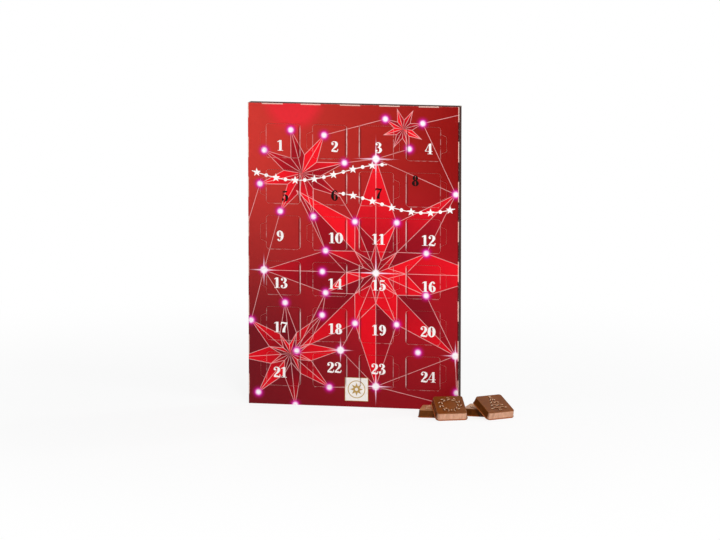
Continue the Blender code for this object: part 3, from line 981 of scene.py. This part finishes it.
def place_chocolate(name, mesh, look, matrix, body, node):
    made = bpy.data.objects.new(name, mesh)
    if not mesh.materials:
        mesh.materials.append(look.material)
    made.matrix_world = matrix
    bpy.context.scene.collection.objects.link(made)
    bpy.context.view_layer.update()
    finish_piece(made, body, "milk_chocolate", node)


def build_tray_chocolates(look):
    """A chocolate in each pocket, flat base to the door."""
    meshes = [
        chocolate_mesh(f"tray_chocolate_{index}", design, TRAY_GRID, True, 1.3 * index)
        for index, design in enumerate(DESIGNS)
    ]
    facing_back = Matrix(((-1, 0, 0), (0, 0, 1), (0, 1, 0))).to_4x4()
    for number in range(1, DOORS + 1):
        node = f"chocolate_{number:02d}"
        low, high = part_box(node)
        matrix = Matrix.Translation(((low.x + high.x) / 2, low.y, (low.z + high.z) / 2)) @ facing_back
        place_chocolate(f"cast_{node}", meshes[(number - 1) % len(meshes)], look, matrix, "carton", node)


def leaning_place(flat_middle, flat_yaw, yaw):
    """Where a chocolate lies that leans on the front right corner of a flat one."""
    corner_middle = CHOCOLATE_SIZE / 2 - CHOCOLATE_CORNER
    corner = Matrix.Rotation(flat_yaw, 2) @ Vector((corner_middle, -corner_middle))
    reach = (CHOCOLATE_THICKNESS + CUT_GAP / cos(LEAN)) / tan(LEAN)
    lie = Matrix.Rotation(yaw, 2)
    floor_edge = flat_middle + corner + lie @ Vector((LEAN_ALONG, TOP_INSET - CHOCOLATE_CORNER - reach))
    turn = Euler((LEAN, 0, yaw)).to_matrix()
    middle = Vector((*floor_edge, 0)) + turn @ Vector((0, CHOCOLATE_SIZE / 2, 0))
    return Matrix.Translation(middle) @ turn.to_4x4()


def build_loose_chocolates(look):
    """Two chocolates flat on the floor, and one that leans on each."""
    for flat, middle, flat_yaw, upper, yaw in [
        ("gift", (101.0 * MM, FRONT - 34.5 * MM), radians(4), "wreath", radians(22)),
        ("bauble", (148.5 * MM, FRONT - 16.5 * MM), radians(-4), "tree", radians(43)),
    ]:
        lying = Matrix.Translation((*middle, 0)) @ Matrix.Rotation(flat_yaw, 4, "Z")
        leaning = leaning_place(Vector(middle), flat_yaw, yaw)
        # The flat ones get a painted sheen on top and painted shade on every side
        for name, matrix, dust_and_painted_light in [(flat, lying, 1.0), (upper, leaning, 0.0)]:
            mesh = chocolate_mesh(f"fine_{name}", name, LOOSE_GRID, False, len(name) * 0.9, dust_and_painted_light)
            mesh.transform(matrix)
            body = f"loose_{name}"
            place_chocolate(f"sample_{name}", mesh, look, Matrix(), body, f"{body}_chocolate")


# Floor, light and camera


def seen_directly(tree):
    """One for what the camera sees, straight or by way of gloss and glass."""
    paths = tree.nodes.new("ShaderNodeLightPath")
    camera, glossy, transmitted = (
        Field(tree, paths.outputs[ray]) for ray in ("Is Camera Ray", "Is Glossy Ray", "Is Transmission Ray"))
    return camera.most(glossy).most(transmitted)


def build_floor():
    """A wide white floor that keeps the object's shadow."""
    shape = Shape()
    corners = [(-1, -1), (1, -1), (1, 1), (-1, 1)]
    shape.faces.append(tuple(shape.ring([(x * FLOOR_REACH, y * FLOOR_REACH, 0) for x, y in corners])))
    look = Look("floor_white")
    look.set(Base_Color=(0.94, 0.94, 0.94, 1.0), Roughness=0.8, Specular_IOR_Level=0.1)
    white = look.node("Emission")
    wire(look.tree, [white.inputs["Color"], white.inputs["Strength"]], ((1, 1, 1, 1), 1.0))
    away = length(look.x, look.y).ramp(250, 900, FLOOR_GLOW, 1.0)
    mix = look.node("MixShader")
    wire(look.tree, mix.inputs, (seen_directly(look.tree) * away, look.shader.outputs[0], white.outputs[0]))
    look.tree.links.new(mix.outputs[0], look.tree.nodes["Material Output"].inputs["Surface"])
    floor = shape.piece("floor", look)


def build_world():
    """A dim even light, which is seen as white."""
    world = bpy.data.worlds.new("studio")
    world.use_nodes = True
    tree = world.node_tree
    strength = seen_directly(tree) * (1.0 - WORLD_LIGHT) + WORLD_LIGHT
    inputs = tree.nodes["Background"].inputs
    wire(tree, [inputs["Color"], inputs["Strength"]], ((1, 1, 1, 1), strength))
    bpy.context.scene.world = world


def build_lamp(name, place, aim, size, power):
    lamp = bpy.data.lights.new(name, "AREA")
    lamp.shape = "DISK"
    lamp.size = size
    lamp.energy = power
    made = bpy.data.objects.new(name, lamp)
    made.location = place
    made.rotation_euler = (Vector(aim) - Vector(place)).to_track_quat("-Z", "Y").to_euler()
    bpy.context.scene.collection.objects.link(made)


def build_camera():
    """Aimed so that the front lies where it does in the photograph."""
    towards = Vector((
        sin(CAMERA_AZIMUTH) * cos(CAMERA_ELEVATION),
        -cos(CAMERA_AZIMUTH) * cos(CAMERA_ELEVATION),
        sin(CAMERA_ELEVATION),
    ))
    right = Vector((cos(CAMERA_AZIMUTH), sin(CAMERA_AZIMUTH), 0))
    up = towards.cross(right)
    per_pixel = HEIGHT * cos(CAMERA_ELEVATION) / (FRONT_BOTTOM_PX - FRONT_TOP_PX)
    across = PHOTO_WIDTH / 2 - (FRONT_LEFT_PX + FRONT_RIGHT_PX) / 2
    down = PHOTO_HEIGHT / 2 - (FRONT_TOP_PX + FRONT_BOTTOM_PX) / 2 - SETTLE_PX
    middle = Vector((0, FRONT, HEIGHT / 2))
    target = middle + right * across * per_pixel - up * down * per_pixel
    data = bpy.data.cameras.new("camera")
    data.sensor_width = SENSOR_WIDTH
    data.lens = SENSOR_WIDTH * CAMERA_DISTANCE / (PHOTO_WIDTH * per_pixel)
    data.clip_end = 60.0
    made = bpy.data.objects.new("camera", data)
    made.location = target + towards * CAMERA_DISTANCE
    made.rotation_euler = (-towards).to_track_quat("-Z", "Y").to_euler()
    bpy.context.scene.collection.objects.link(made)
    bpy.context.scene.camera = made


# Finishes


def near(look, x, z):
    """Distance to a point of the print."""
    return length(look.x - x, look.z - z)


def line_distance(look, start, end):
    """Distance to a straight line between two points of the print."""
    run_x, run_z = end[0] - start[0], end[1] - start[1]
    square = run_x**2 + run_z**2
    from_x, from_z = look.x - start[0], look.z - start[1]
    share = (from_x * (run_x / square) + from_z * (run_z / square)).most(0.0).least(1.0)
    return length(from_x - share * run_x, from_z - share * run_z)


def fold_star(angle, radius, reach, notch, points):
    """A star folded onto half a spoke: its index, the turn in it, along, across and past the edge."""
    sector = 2 * pi / points
    index = (angle / sector).round()
    turned = angle - index * sector
    folded = turned.size()
    along, across = radius * folded.cosine(), radius * folded.sine()
    corner_x, corner_z = notch * cos(sector / 2), notch * sin(sector / 2)
    edge_length = hypot(corner_z, reach - corner_x)
    edge = (along - reach) * (corner_z / edge_length) + across * ((reach - corner_x) / edge_length)
    return index, turned, along, across, edge


def faceted_star(look, centre, reach, notch, turn, number):
    """Inside mask of a star, a shade for each facet, and how far its lines, tips, notches and middle are."""
    from_x, from_z = look.x - centre[0], look.z - centre[1]
    radius = length(from_x, from_z)
    half_sector = pi / STAR_POINTS
    angle = from_z.angle_from(from_x) - turn
    index, turned, along, across, edge = fold_star(angle, radius, reach, notch, STAR_POINTS)
    facet = index.modulo(float(STAR_POINTS)) * 2.0 + turned.over(0.0) + number * 31.0
    chance = look.node("TexWhiteNoise", noise_dimensions="1D")
    wire(look.tree, [chance.inputs["W"]], [facet])
    valley = radius * (half_sector - turned.size()).sine()
    lines = across.least(valley).most(edge).least(edge.size())
    tips = length(along - reach, across)
    notches = length(along - notch * cos(half_sector), across - notch * sin(half_sector))
    return edge.ramp(0.06, -0.06), Field(look.tree, chance.outputs["Value"]), lines, tips, notches, radius


def small_star(x, z, reach, points, notch_share):
    """Inside mask of a small plain star about the origin of two fields."""
    return fold_star(x.angle_from(z), length(x, z), reach, notch_share * reach, points)[-1].ramp(0.12, -0.12)


def artwork(look):
    """The colours of the print: glow, faceted stars, fine lines, lights, garlands and a plate."""
    # The ground runs from a warm glow at the top left to a deep red at the right and the foot
    low = (look.z * (1 / PRINT_HEIGHT)).most(0.0).least(1.0)
    right = (look.x * (1 / PRINT_WIDTH) + 0.5).most(0.0).least(1.0)
    warm = look.mix(right, (207, 55, 47), (138, 6, 4))
    cool = look.mix(right, (112, 16, 26), (148, 11, 22))
    look.colour = look.mix(low.ramp(0.15, 0.95) + (look.noise(9, 3, 0.5) - 0.5) * 0.25, cool, warm)
    look.coat(near(look, -68, 344).ramp(40, 22) * 0.78, (236, 40, 54))
    look.coat(near(look, 34, 150).ramp(150, 30) * 0.35, (206, 16, 38))

    # Nested faceted stars, the large one cut off by the carton's right edge
    height = (look.z * (1 / PRINT_HEIGHT)).ramp(0.1, 0.75)
    bright = look.mix(height, (226, 4, 26), (250, 16, 34))
    dark = look.mix(height, (104, 4, 20), (156, 8, 26))
    lines = tips = None
    for centre, reach, notch, turn, number, lit in STARS:
        inside, shade, edges, outer, notches, radius = faceted_star(look, centre, reach, notch, turn, number)
        outward = (radius * (1 / reach)).ramp(0.0, 1.0, -0.22, 0.22)
        look.coat(inside * 0.92, look.mix((shade + outward).ramp(0.10, 0.90), dark, bright))
        lines = nearest(lines, edges + (1.0 - inside) * 9.0 * edges.over(0.5) + radius.ramp(7.0, 0.0) * 0.28)
        if lit:
            tips = nearest(tips, outer.least(notches) if lit > 1 else outer)

    # Fine lines that tie the stars together
    for start, end in NETWORK:
        lines = lines.least(line_distance(look, start, end))
    look.coat(lines.ramp(0.44, 0.12) * (0.45 + look.noise(28, 2, 0.5) * 0.6), (246, 186, 186))

    # Small stars and dots on two strings
    for level, first, last, phase in GARLANDS:
        here = look.x.over(first) * look.x.under(last)
        string = (look.x * (1 / GARLAND_WAVE) + phase).sine() * GARLAND_SWING + level - look.z
        look.coat(string.size().ramp(0.62, 0.3) * here, GARLAND_WHITE)
        cell = (look.x / GARLAND_PITCH).round()
        middle = (cell * (GARLAND_PITCH / GARLAND_WAVE) + phase).sine() * GARLAND_SWING + level
        from_x, from_z = look.x - cell * GARLAND_PITCH, look.z - middle
        even = cell.modulo(2.0).under(0.5)
        ball = length(from_x, from_z).ramp(2.2, 1.9) * (1.0 - even)
        star = small_star(from_x, from_z, 4.9, 5, 0.42) * even
        look.coat(ball.most(star) * here, GARLAND_WHITE)

    # Lights: a white heart in a magenta halo, some with four long rays
    for x, z in DARK_TIPS:
        tips = tips + near(look, x, z).under(8.7) * 9.0
    for x, z in LIGHTS:
        tips = tips.least(near(look, x, z))
    look.coat(tips.ramp(9.0, 2.4) * 0.62, (204, 12, 126))
    look.coat(tips.ramp(5.8, 2.2) * 0.92, (238, 62, 204))
    heart = tips.ramp(4.2, 1.3)
    for x, z, reach in GLINTS:
        from_x, from_z = (look.x - x).size(), (look.z - z).size()
        wide, tall = from_x.ramp(reach, 0.0), from_z.ramp(reach, 0.0)
        level_ray = (from_z - wide * 0.75).ramp(0.35, -0.15) * wide
        upright_ray = (from_x - tall * 0.75).ramp(0.35, -0.15) * tall
        look.coat(level_ray.most(upright_ray), (255, 214, 240))
        heart = heart.most(length(from_x, from_z).ramp(5.2, 2.4))
    look.coat(heart, (255, 250, 252))

    # A small plate at the foot: a beige border, a ring and one star
    from_x, from_z = look.x - PLATE_MIDDLE[0], look.z - PLATE_MIDDLE[1]
    reach = from_x.size().most(from_z.size())
    look.coat(reach.ramp(PLATE_HALF + 0.05, PLATE_HALF - 0.05), (198, 168, 106))
    paper = look.mix(look.noise(300, 3, 0.6).ramp(0.3, 0.7), (238, 235, 228), (244, 242, 236))
    look.coat(reach.ramp(PLATE_HALF - 0.40, PLATE_HALF - 0.55), paper)
    radius = length(from_x, from_z)
    look.coat(small_star(from_x, from_z, 7.4, 8, 0.50) * radius.ramp(1.7, 1.9), (182, 150, 82))
    look.coat((radius - 9.6).size().ramp(0.60, 0.35), (188, 158, 92))


def door_fields(look):
    """Place on the nearest door: out towards its tab, and up."""
    pitch_x, pitch_z = COLUMN_PITCH * IN_MM, ROW_PITCH * IN_MM
    column = (look.x * (1 / pitch_x) + (COLUMNS - 1) / 2).round().most(0.0).least(COLUMNS - 1.0)
    across = look.x - (column - (COLUMNS - 1) / 2) * pitch_x
    side = look.x.over(0.0) * 2.0 - 1.0
    up = look.z - (LAST_DOOR_LOW.z + LAST_DOOR_HIGH.z) / 2 * IN_MM
    row = (up / pitch_z).round().most(0.0).least(DOORS / COLUMNS - 1.0)
    return across * side, up - row * pitch_z


def plain_inside(look, fibre):
    """The unprinted inside of the board."""
    flecks = look.noise(1100, 2, 0.7).ramp(0.64, 0.72)
    colour = look.mix(fibre.ramp(0.2, 0.8), (208, 200, 188), (220, 213, 202))
    colour = look.mix(look.noise(60, 3, 0.6).ramp(0.35, 0.7) * 0.25, colour, (200, 189, 172))
    return look.mix(flecks * 0.30, colour, (158, 140, 118))


def printed_look():
    """Glossy printed board: artwork, pressed door outlines with painted highlights and shade, worn edges with
    painted highlights, painted shadow and shade at the folds, pale core, plain inside.
    """
    look = Look("printed_board")
    fibre = look.noise(1300, 5, 0.7, stretch=(1.0, 1.0, 0.4))
    deep = look.y - FRONT * IN_MM
    artwork(look)

    # Colour on press: faint mottle, and light rubbing
    look.coat((look.noise(160, 4, 0.6) - 0.5).size() * 0.35, (120, 12, 24))
    rub = look.noise(46, 5, 0.7).ramp(0.62, 0.80) * look.noise(700, 2, 0.6).ramp(0.5, 0.7)
    look.coat(rub * 0.16, (240, 150, 146))

    # Cut doors: painted highlights along the crease, the tab root and the foot of each door, and a painted
    # shade line just inside the crease
    out, up = door_fields(look)
    half = DOOR_WIDTH * IN_MM / 2
    half_up = DOOR_HEIGHT * IN_MM / 2
    wavy = look.noise(240, 3, 0.6)
    upright = up.size().ramp(half_up - 0.5, half_up - 5.5)
    strength = look.noise(13, 2, 0.5).ramp(0.34, 0.62) * 0.65 + 0.35
    crease = (out + half + 0.15).size().ramp(0.80, 0.25) * upright * wavy.ramp(0.22, 0.5) * strength
    groove_shade = (out + half - 1.30).size().ramp(1.05, 0.30) * upright
    tab_root_highlight = (out - half).size().ramp(0.55, 0.2) * upright * wavy.ramp(0.35, 0.6)
    # The door's foot gets a thin painted highlight
    foot = (up + half_up + 0.6).size().ramp(0.5, 0.15) * out.size().under(half - 1.5) * wavy.ramp(0.4, 0.62)
    look.coat(groove_shade * 0.62, (96, 4, 10))
    paler = look.mix(0.62, look.colour, (1.0, 0.86, 0.84, 1.0))
    look.coat((crease * 0.95).most(tab_root_highlight * 0.36).most(foot * 0.34), paler)
    # Rolled cut edges: paler red as a painted highlight, and pale spots that are wear and painted highlight
    # together
    rolled = deep.ramp(0.01, 0.10)
    worn = rolled * look.noise(900, 3, 0.7).ramp(0.44, 0.62) * look.noise(60, 3, 0.6).ramp(0.45, 0.60)
    look.coat(rolled * 0.20, (232, 104, 98))
    look.coat(worn * 0.48, (244, 176, 166))

    # Folds: perforated pale dashes, painted shadow in the notches between the right edge's dashes, then
    # painted shade over the turned edge
    edge_x = HALF_WIDTH * IN_MM - look.x.size()
    edge_top = HEIGHT * IN_MM - look.z
    rows = ((look.z - 11.0) / FOLD_PITCH).fraction().under(FOLD_DASH)
    slack = look.noise(9, 1, 0.5) * 0.5 - 0.25
    columns = ((look.x + 104.0) / FOLD_PITCH).fraction().under(slack + FOLD_DASH)
    ragged = look.noise(500, 3, 0.7) * 0.7
    dashes = (edge_x - ragged).ramp(0.85, 0.35) * rows
    dashes = dashes.most((edge_top - ragged).ramp(1.25, 0.6) * columns)
    look.coat(dashes * 0.80, (238, 200, 186))
    # Painted shadow: dark notches between the dashes on the right edge
    notches = (edge_x - ragged * 0.6).ramp(1.5, 0.7) * (1.0 - rows) * look.x.over(0.0)
    look.coat(notches * 0.85, (52, 4, 8))
    edge = edge_x.least(edge_top).least(look.z)
    crack = edge.ramp(0.9, 0.0) * look.noise(650, 4, 0.75).ramp(0.52, 0.66)
    look.coat(crack * 0.5, (238, 190, 180))
    # Painted shade: the turned edge takes the dark of the side in shadow
    turned_over = edge.ramp(0.16, 0.02) * deep.ramp(0.2, 0.42)
    look.coat(turned_over * (1.0 - dashes * 0.7), (46, 26, 24))

    # Below the printed skin: the pale fibres of the cut, stained red by the ink and darkened as painted shade
    # of the narrow cut, and the inside
    cut = (out + half).size().over(0.45).most(upright.under(0.5))
    nicked = up.over(half_up + 0.03) * deep.over(0.02) * out.size().under(half - 2) * up.under(half_up + 0.28)
    raw = (deep.ramp(0.145, 0.165) * edge.over(0.62) * cut).most(nicked)
    core = look.mix(fibre.ramp(0.3, 0.7), (206, 184, 160), (240, 228, 212))
    look.coat(raw, look.mix(deep.ramp(0.62, 0.20) * 0.45 + 0.45, core, (122, 18, 24)))
    behind = deep.over(BOARD * IN_MM - 0.01)
    look.coat(behind, plain_inside(look, fibre))
    look.set(Specular_IOR_Level=0.09)
    bare = raw.most(behind)
    gloss = look.noise(30, 4, 0.6) * 0.14 + 0.27 + worn * 0.2 + dashes * 0.25
    pressed = crease * 0.35 - groove_shade * 0.5 + tab_root_highlight * 0.2
    height = look.noise(520, 3, 0.6) * 0.010 + fibre * (0.006 + bare * 0.03) + look.noise(14, 2, 0.5) * 0.9
    return look.finish(gloss * (1.0 - bare) + bare * 0.85, height + pressed * 0.35)


def plain_look():
    """Board of the sides, ends and back in a dark brown that is painted shade, with worn folds and raw rims.
    """
    look = Look("plain_board")
    x, z = look.x, look.z
    fibre = look.noise(1300, 5, 0.7, stretch=(1.0, 1.0, 0.4))
    mottle = look.noise(22, 5, 0.6)
    # Painted shade: the whole sheet is dark brown, as the side looks in shadow
    look.colour = look.mix(mottle.ramp(0.3, 0.7), (60, 37, 33), (72, 47, 42))
    look.coat(look.noise(900, 4, 0.7).ramp(0.45, 0.8) * 0.22, (100, 76, 68))

    # On the back, a plain frame of two lines with a star at each corner and one in the middle
    side_edge = HALF_WIDTH * IN_MM - x.size()
    end_edge = (HEIGHT * IN_MM - z).least(z)
    back_edge = BACK * IN_MM - look.y
    on_back = look.y.over(BACK * IN_MM - 0.1)
    from_frame = side_edge.least(end_edge)
    frame_line = (from_frame - 12.0).size().ramp(0.55, 0.35).most((from_frame - 14.6).size().ramp(0.3, 0.15))
    corner_x, corner_z = side_edge - BACK_FRAME, end_edge - BACK_FRAME
    corner = small_star(corner_x, corner_z, 5.2, 8, 0.46)
    up = z - HEIGHT * IN_MM / 2
    outer, hollow, core = (small_star(x, up, reach, 8, 0.44) for reach in BACK_STARS)
    ring = (length(x, up) - 36.0).size().ramp(0.45, 0.25)
    middle = (outer * (1.0 - hollow)).most(core).most(ring)
    drawn = (frame_line * length(corner_x, corner_z).ramp(6.6, 6.9)).most(corner).most(middle) * on_back
    gilt = look.mix(look.noise(240, 3, 0.6).ramp(0.3, 0.7), (126, 94, 66), (150, 116, 84))
    look.coat(drawn * 0.85, gilt)

    # Darker beside the front's fold, as in its shadow line
    look.coat((look.y - FRONT * IN_MM).ramp(4.6, 0.8) * 0.55, (30, 17, 15))

    # Scuffs: long faint scratches and rubbed folds
    scratch = look.noise(26, 5, 0.75, stretch=(1.0, 1.0, 14.0)).ramp(0.66, 0.74)
    cross_scratch = look.noise(22, 5, 0.75, stretch=(9.0, 1.0, 1.0)).ramp(0.67, 0.75)
    look.coat(scratch.most(cross_scratch) * 0.28, (150, 126, 112))
    fold = side_edge.most(back_edge).ramp(1.1, 0.1).most(
        side_edge.least(back_edge).most(end_edge).ramp(1.3, 0.2))
    rubbed = fold * look.noise(380, 5, 0.75).ramp(0.46, 0.62)
    look.coat(rubbed * 0.62, (176, 150, 132))

    # The glued seam shows through the back as a faint step
    seam = x + HALF_WIDTH * IN_MM - GLUE_FLAP
    look.coat(seam.size().ramp(0.7, 0.15) * on_back * 0.35, (112, 90, 80))

    # Raw rims at the ends, and the unprinted inside
    rim = end_edge.under(0.05) * side_edge.under(0.55).most(back_edge.under(0.55))
    look.coat(rim, look.mix(fibre.ramp(0.3, 0.7), (140, 118, 102), (176, 156, 138)))
    inside = side_edge.over(0.3) * back_edge.over(0.3) * end_edge.over(0.3)
    look.coat(inside, plain_inside(look, fibre))
    look.set(Specular_IOR_Level=0.004)
    bare = rim.most(inside)
    gloss = mottle * 0.16 + 0.42 + rubbed * 0.2
    height = look.noise(520, 3, 0.6) * 0.012 + fibre * (0.008 + bare * 0.03) + look.noise(13, 2, 0.5) * 0.9
    height = height - seam.ramp(-0.6, 0.6) * 0.10 - scratch * 0.01
    return look.finish(gloss * (1.0 - bare) + bare * 0.85, height)


def ink_look(name, light, dark, gloss):
    """A solid ink with faint voids where the board's fibres show."""
    look = Look(name)
    grain = look.noise(700, 4, 0.7)
    cloud = look.noise(90, 3, 0.6)
    look.colour = look.mix(cloud.ramp(0.3, 0.7) * 0.6 + grain.ramp(0.55, 0.8) * 0.4, light, dark)
    look.set(Specular_IOR_Level=0.10)
    return look.finish(cloud * 0.15 + gloss, grain * 0.008 + look.noise(14, 2, 0.5) * 0.9)


def ivory_look():
    """Thin formed plastic: glossy, with flow waves and faint rubbing."""
    look = Look("tray_plastic")
    cloud = look.noise(40, 4, 0.6)
    fine = look.noise(600, 4, 0.7)
    look.colour = look.mix(cloud.ramp(0.3, 0.7), (222, 211, 188), (236, 228, 210))
    scuffs = look.noise(120, 5, 0.8, stretch=(1.0, 1.0, 5.0)).ramp(0.62, 0.72)
    look.coat(scuffs * 0.3, (200, 186, 160))
    look.set(Specular_IOR_Level=0.5)
    roughness = cloud * 0.12 + 0.16 + scuffs * 0.25 + fine * 0.05
    return look.finish(roughness, look.noise(60, 2, 0.5) * 0.15 + fine * 0.01)


def milk_look():
    """Milk chocolate: cast gloss, dust with a painted sheen, sides painted lit and shaded, painted relief
    highlights and shade, paler arrises, fine pits with painted shade and a little bloom.
    """
    look = Look("milk_chocolate")
    shift = Field(look.tree, look.node("ObjectInfo").outputs["Random"]) * 3.0
    cast_x, cast_y, cast_z = look.parts(look.stored("cast", "Vector"))
    place = look.vector(cast_x + shift, cast_y - shift, cast_z + shift * 0.5)
    x, y, z = cast_x * IN_MM, cast_y * IN_MM, cast_z * IN_MM
    reach = x.size().most(y.size())
    cloud = look.noise(70, 5, 0.62, place)
    swirl = look.noise(160, 3, 0.5, place)
    fine = look.noise(1500, 4, 0.7, place)
    look.colour = look.mix(cloud.ramp(0.3, 0.7), (106, 52, 13), (122, 64, 19))
    look.coat(swirl.ramp(0.56, 0.74) * 0.25, (140, 88, 50))

    # Paler raised lines, partly dust and partly painted highlight; a painted sheen with matte dust on the
    # flat tops; and a paler poured base
    lift = (z - CHOCOLATE_THICKNESS * IN_MM).ramp(0.02, RELIEF_HEIGHT * IN_MM * 0.9)
    look.coat(lift * 0.18, (176, 118, 74))
    dust_and_painted_light = Field(look.tree, look.stored("dust_and_painted_light"))
    dust_and_sheen = dust_and_painted_light * (z - 7.9).ramp(0.0, 0.6) * (cloud.ramp(0.25, 0.7) * 0.35 + 0.50)
    look.coat(dust_and_sheen, (206, 152, 108))
    poured = (0.9 - z).ramp(0.0, 0.4) * (17.8 - reach).ramp(0.0, 0.8)
    look.coat(poured * (swirl.ramp(0.30, 0.75) * 0.22 + 0.22), (150, 96, 56))

    # Drafted sides, painted light and shade: two sides painted pale in upright streaks as if lit, the others
    # painted dark as if shaded, all four dark on the flat ones
    drafted = (z - 0.9).ramp(0.0, 0.5) * (z - 8.1).ramp(0.3, -0.5) * (reach - 15.4).ramp(0.0, 0.5)
    upright = look.vector(cast_x + shift, cast_y - shift, cast_z * 0.25)
    streaks = look.noise(260, 4, 0.7, upright).ramp(0.2, 0.75)
    rubbed = drafted * (y.size() - x.size()).ramp(-3.2, 1.6) * (1.0 - dust_and_painted_light)
    dark = drafted * (x.size() - y.size() + dust_and_painted_light * 60.0).ramp(-1.6, 3.2)
    look.coat(dark * (0.62 - streaks * 0.34), (54, 32, 18))
    look.coat(rubbed * (streaks * 0.45 + 0.46), (228, 178, 150))

    # Painted shade in the relief's hollows and painted highlights on its edges, paler arrises, flash round
    # the base, bloom and pits
    painted_relief_light = Field(look.tree, look.stored("relief_light_and_shade"))
    look.coat(painted_relief_light.ramp(-0.02, -0.24) * 0.85, (42, 19, 6))
    look.coat(painted_relief_light.ramp(0.14, 0.42) * 0.85, (242, 206, 176))
    arris = (reach - 15.6).ramp(0.0, 0.9) * (z - 7.4).ramp(0.0, 0.9) * fine.ramp(0.35, 0.6)
    look.coat(arris * 0.35, (186, 134, 96))
    # The flash's orange is partly painted light shining through the thin rim
    flash = (1.15 - z).ramp(0.0, 0.5) * (reach - 17.0).ramp(0.0, 0.8)
    look.coat(flash * 0.7, (186, 96, 42))
    bloom = look.noise(38, 6, 0.75, place).ramp(0.60, 0.80) * look.noise(500, 3, 0.7, place).ramp(0.4, 0.7)
    look.coat(bloom * 0.30, (196, 164, 138))
    # The pits are darkened with painted shade
    pits = look.node("TexVoronoi", feature="F1")
    wire(look.tree, [pits.inputs["Scale"], pits.inputs["Vector"]], (620, place))
    pit = Field(look.tree, pits.outputs["Distance"]).ramp(0.16, 0.05)
    look.coat(pit * 0.25, (84, 44, 22))
    look.set(Specular_IOR_Level=0.17, Specular_Tint=srgb(255, 206, 160))
    look.set(Subsurface_Weight=0.08, Subsurface_Scale=0.0012, Subsurface_Radius=(1.0, 0.45, 0.2))
    roughness = cloud * 0.14 + 0.17 + bloom * 0.25 + lift * 0.05 + poured * 0.18 + dust_and_sheen * 0.40
    return look.finish(roughness, cloud * 0.06 + swirl * 0.03 + fine * 0.012 - pit * 0.025)


white_ink = ink_look("white_ink", (250, 248, 246), (236, 228, 226), 0.30)
black_ink = ink_look("black_ink", (3, 2, 2), (10, 6, 7), 0.42)
ivory = ivory_look()
milk = milk_look()
printed = printed_look()
plain = plain_look()
build_front(printed)
for door_number in range(1, DOORS + 1):
    build_door(door_number, printed)
    build_number(door_number, number_place(door_number), black_ink if 5 <= door_number <= 8 else white_ink)
build_tray(ivory)
build_tray_chocolates(milk)
build_loose_chocolates(milk)
build_sleeve(plain)
build_end("carton_top", "top_panel", plain, HEIGHT, -1)
build_end("carton_bottom", "bottom_panel", plain, 0.0, 1)
build_floor()
build_world()
for lamp_values in LAMPS:
    build_lamp(*lamp_values)
build_camera()

bpy.context.scene.view_settings.view_transform = "Standard"
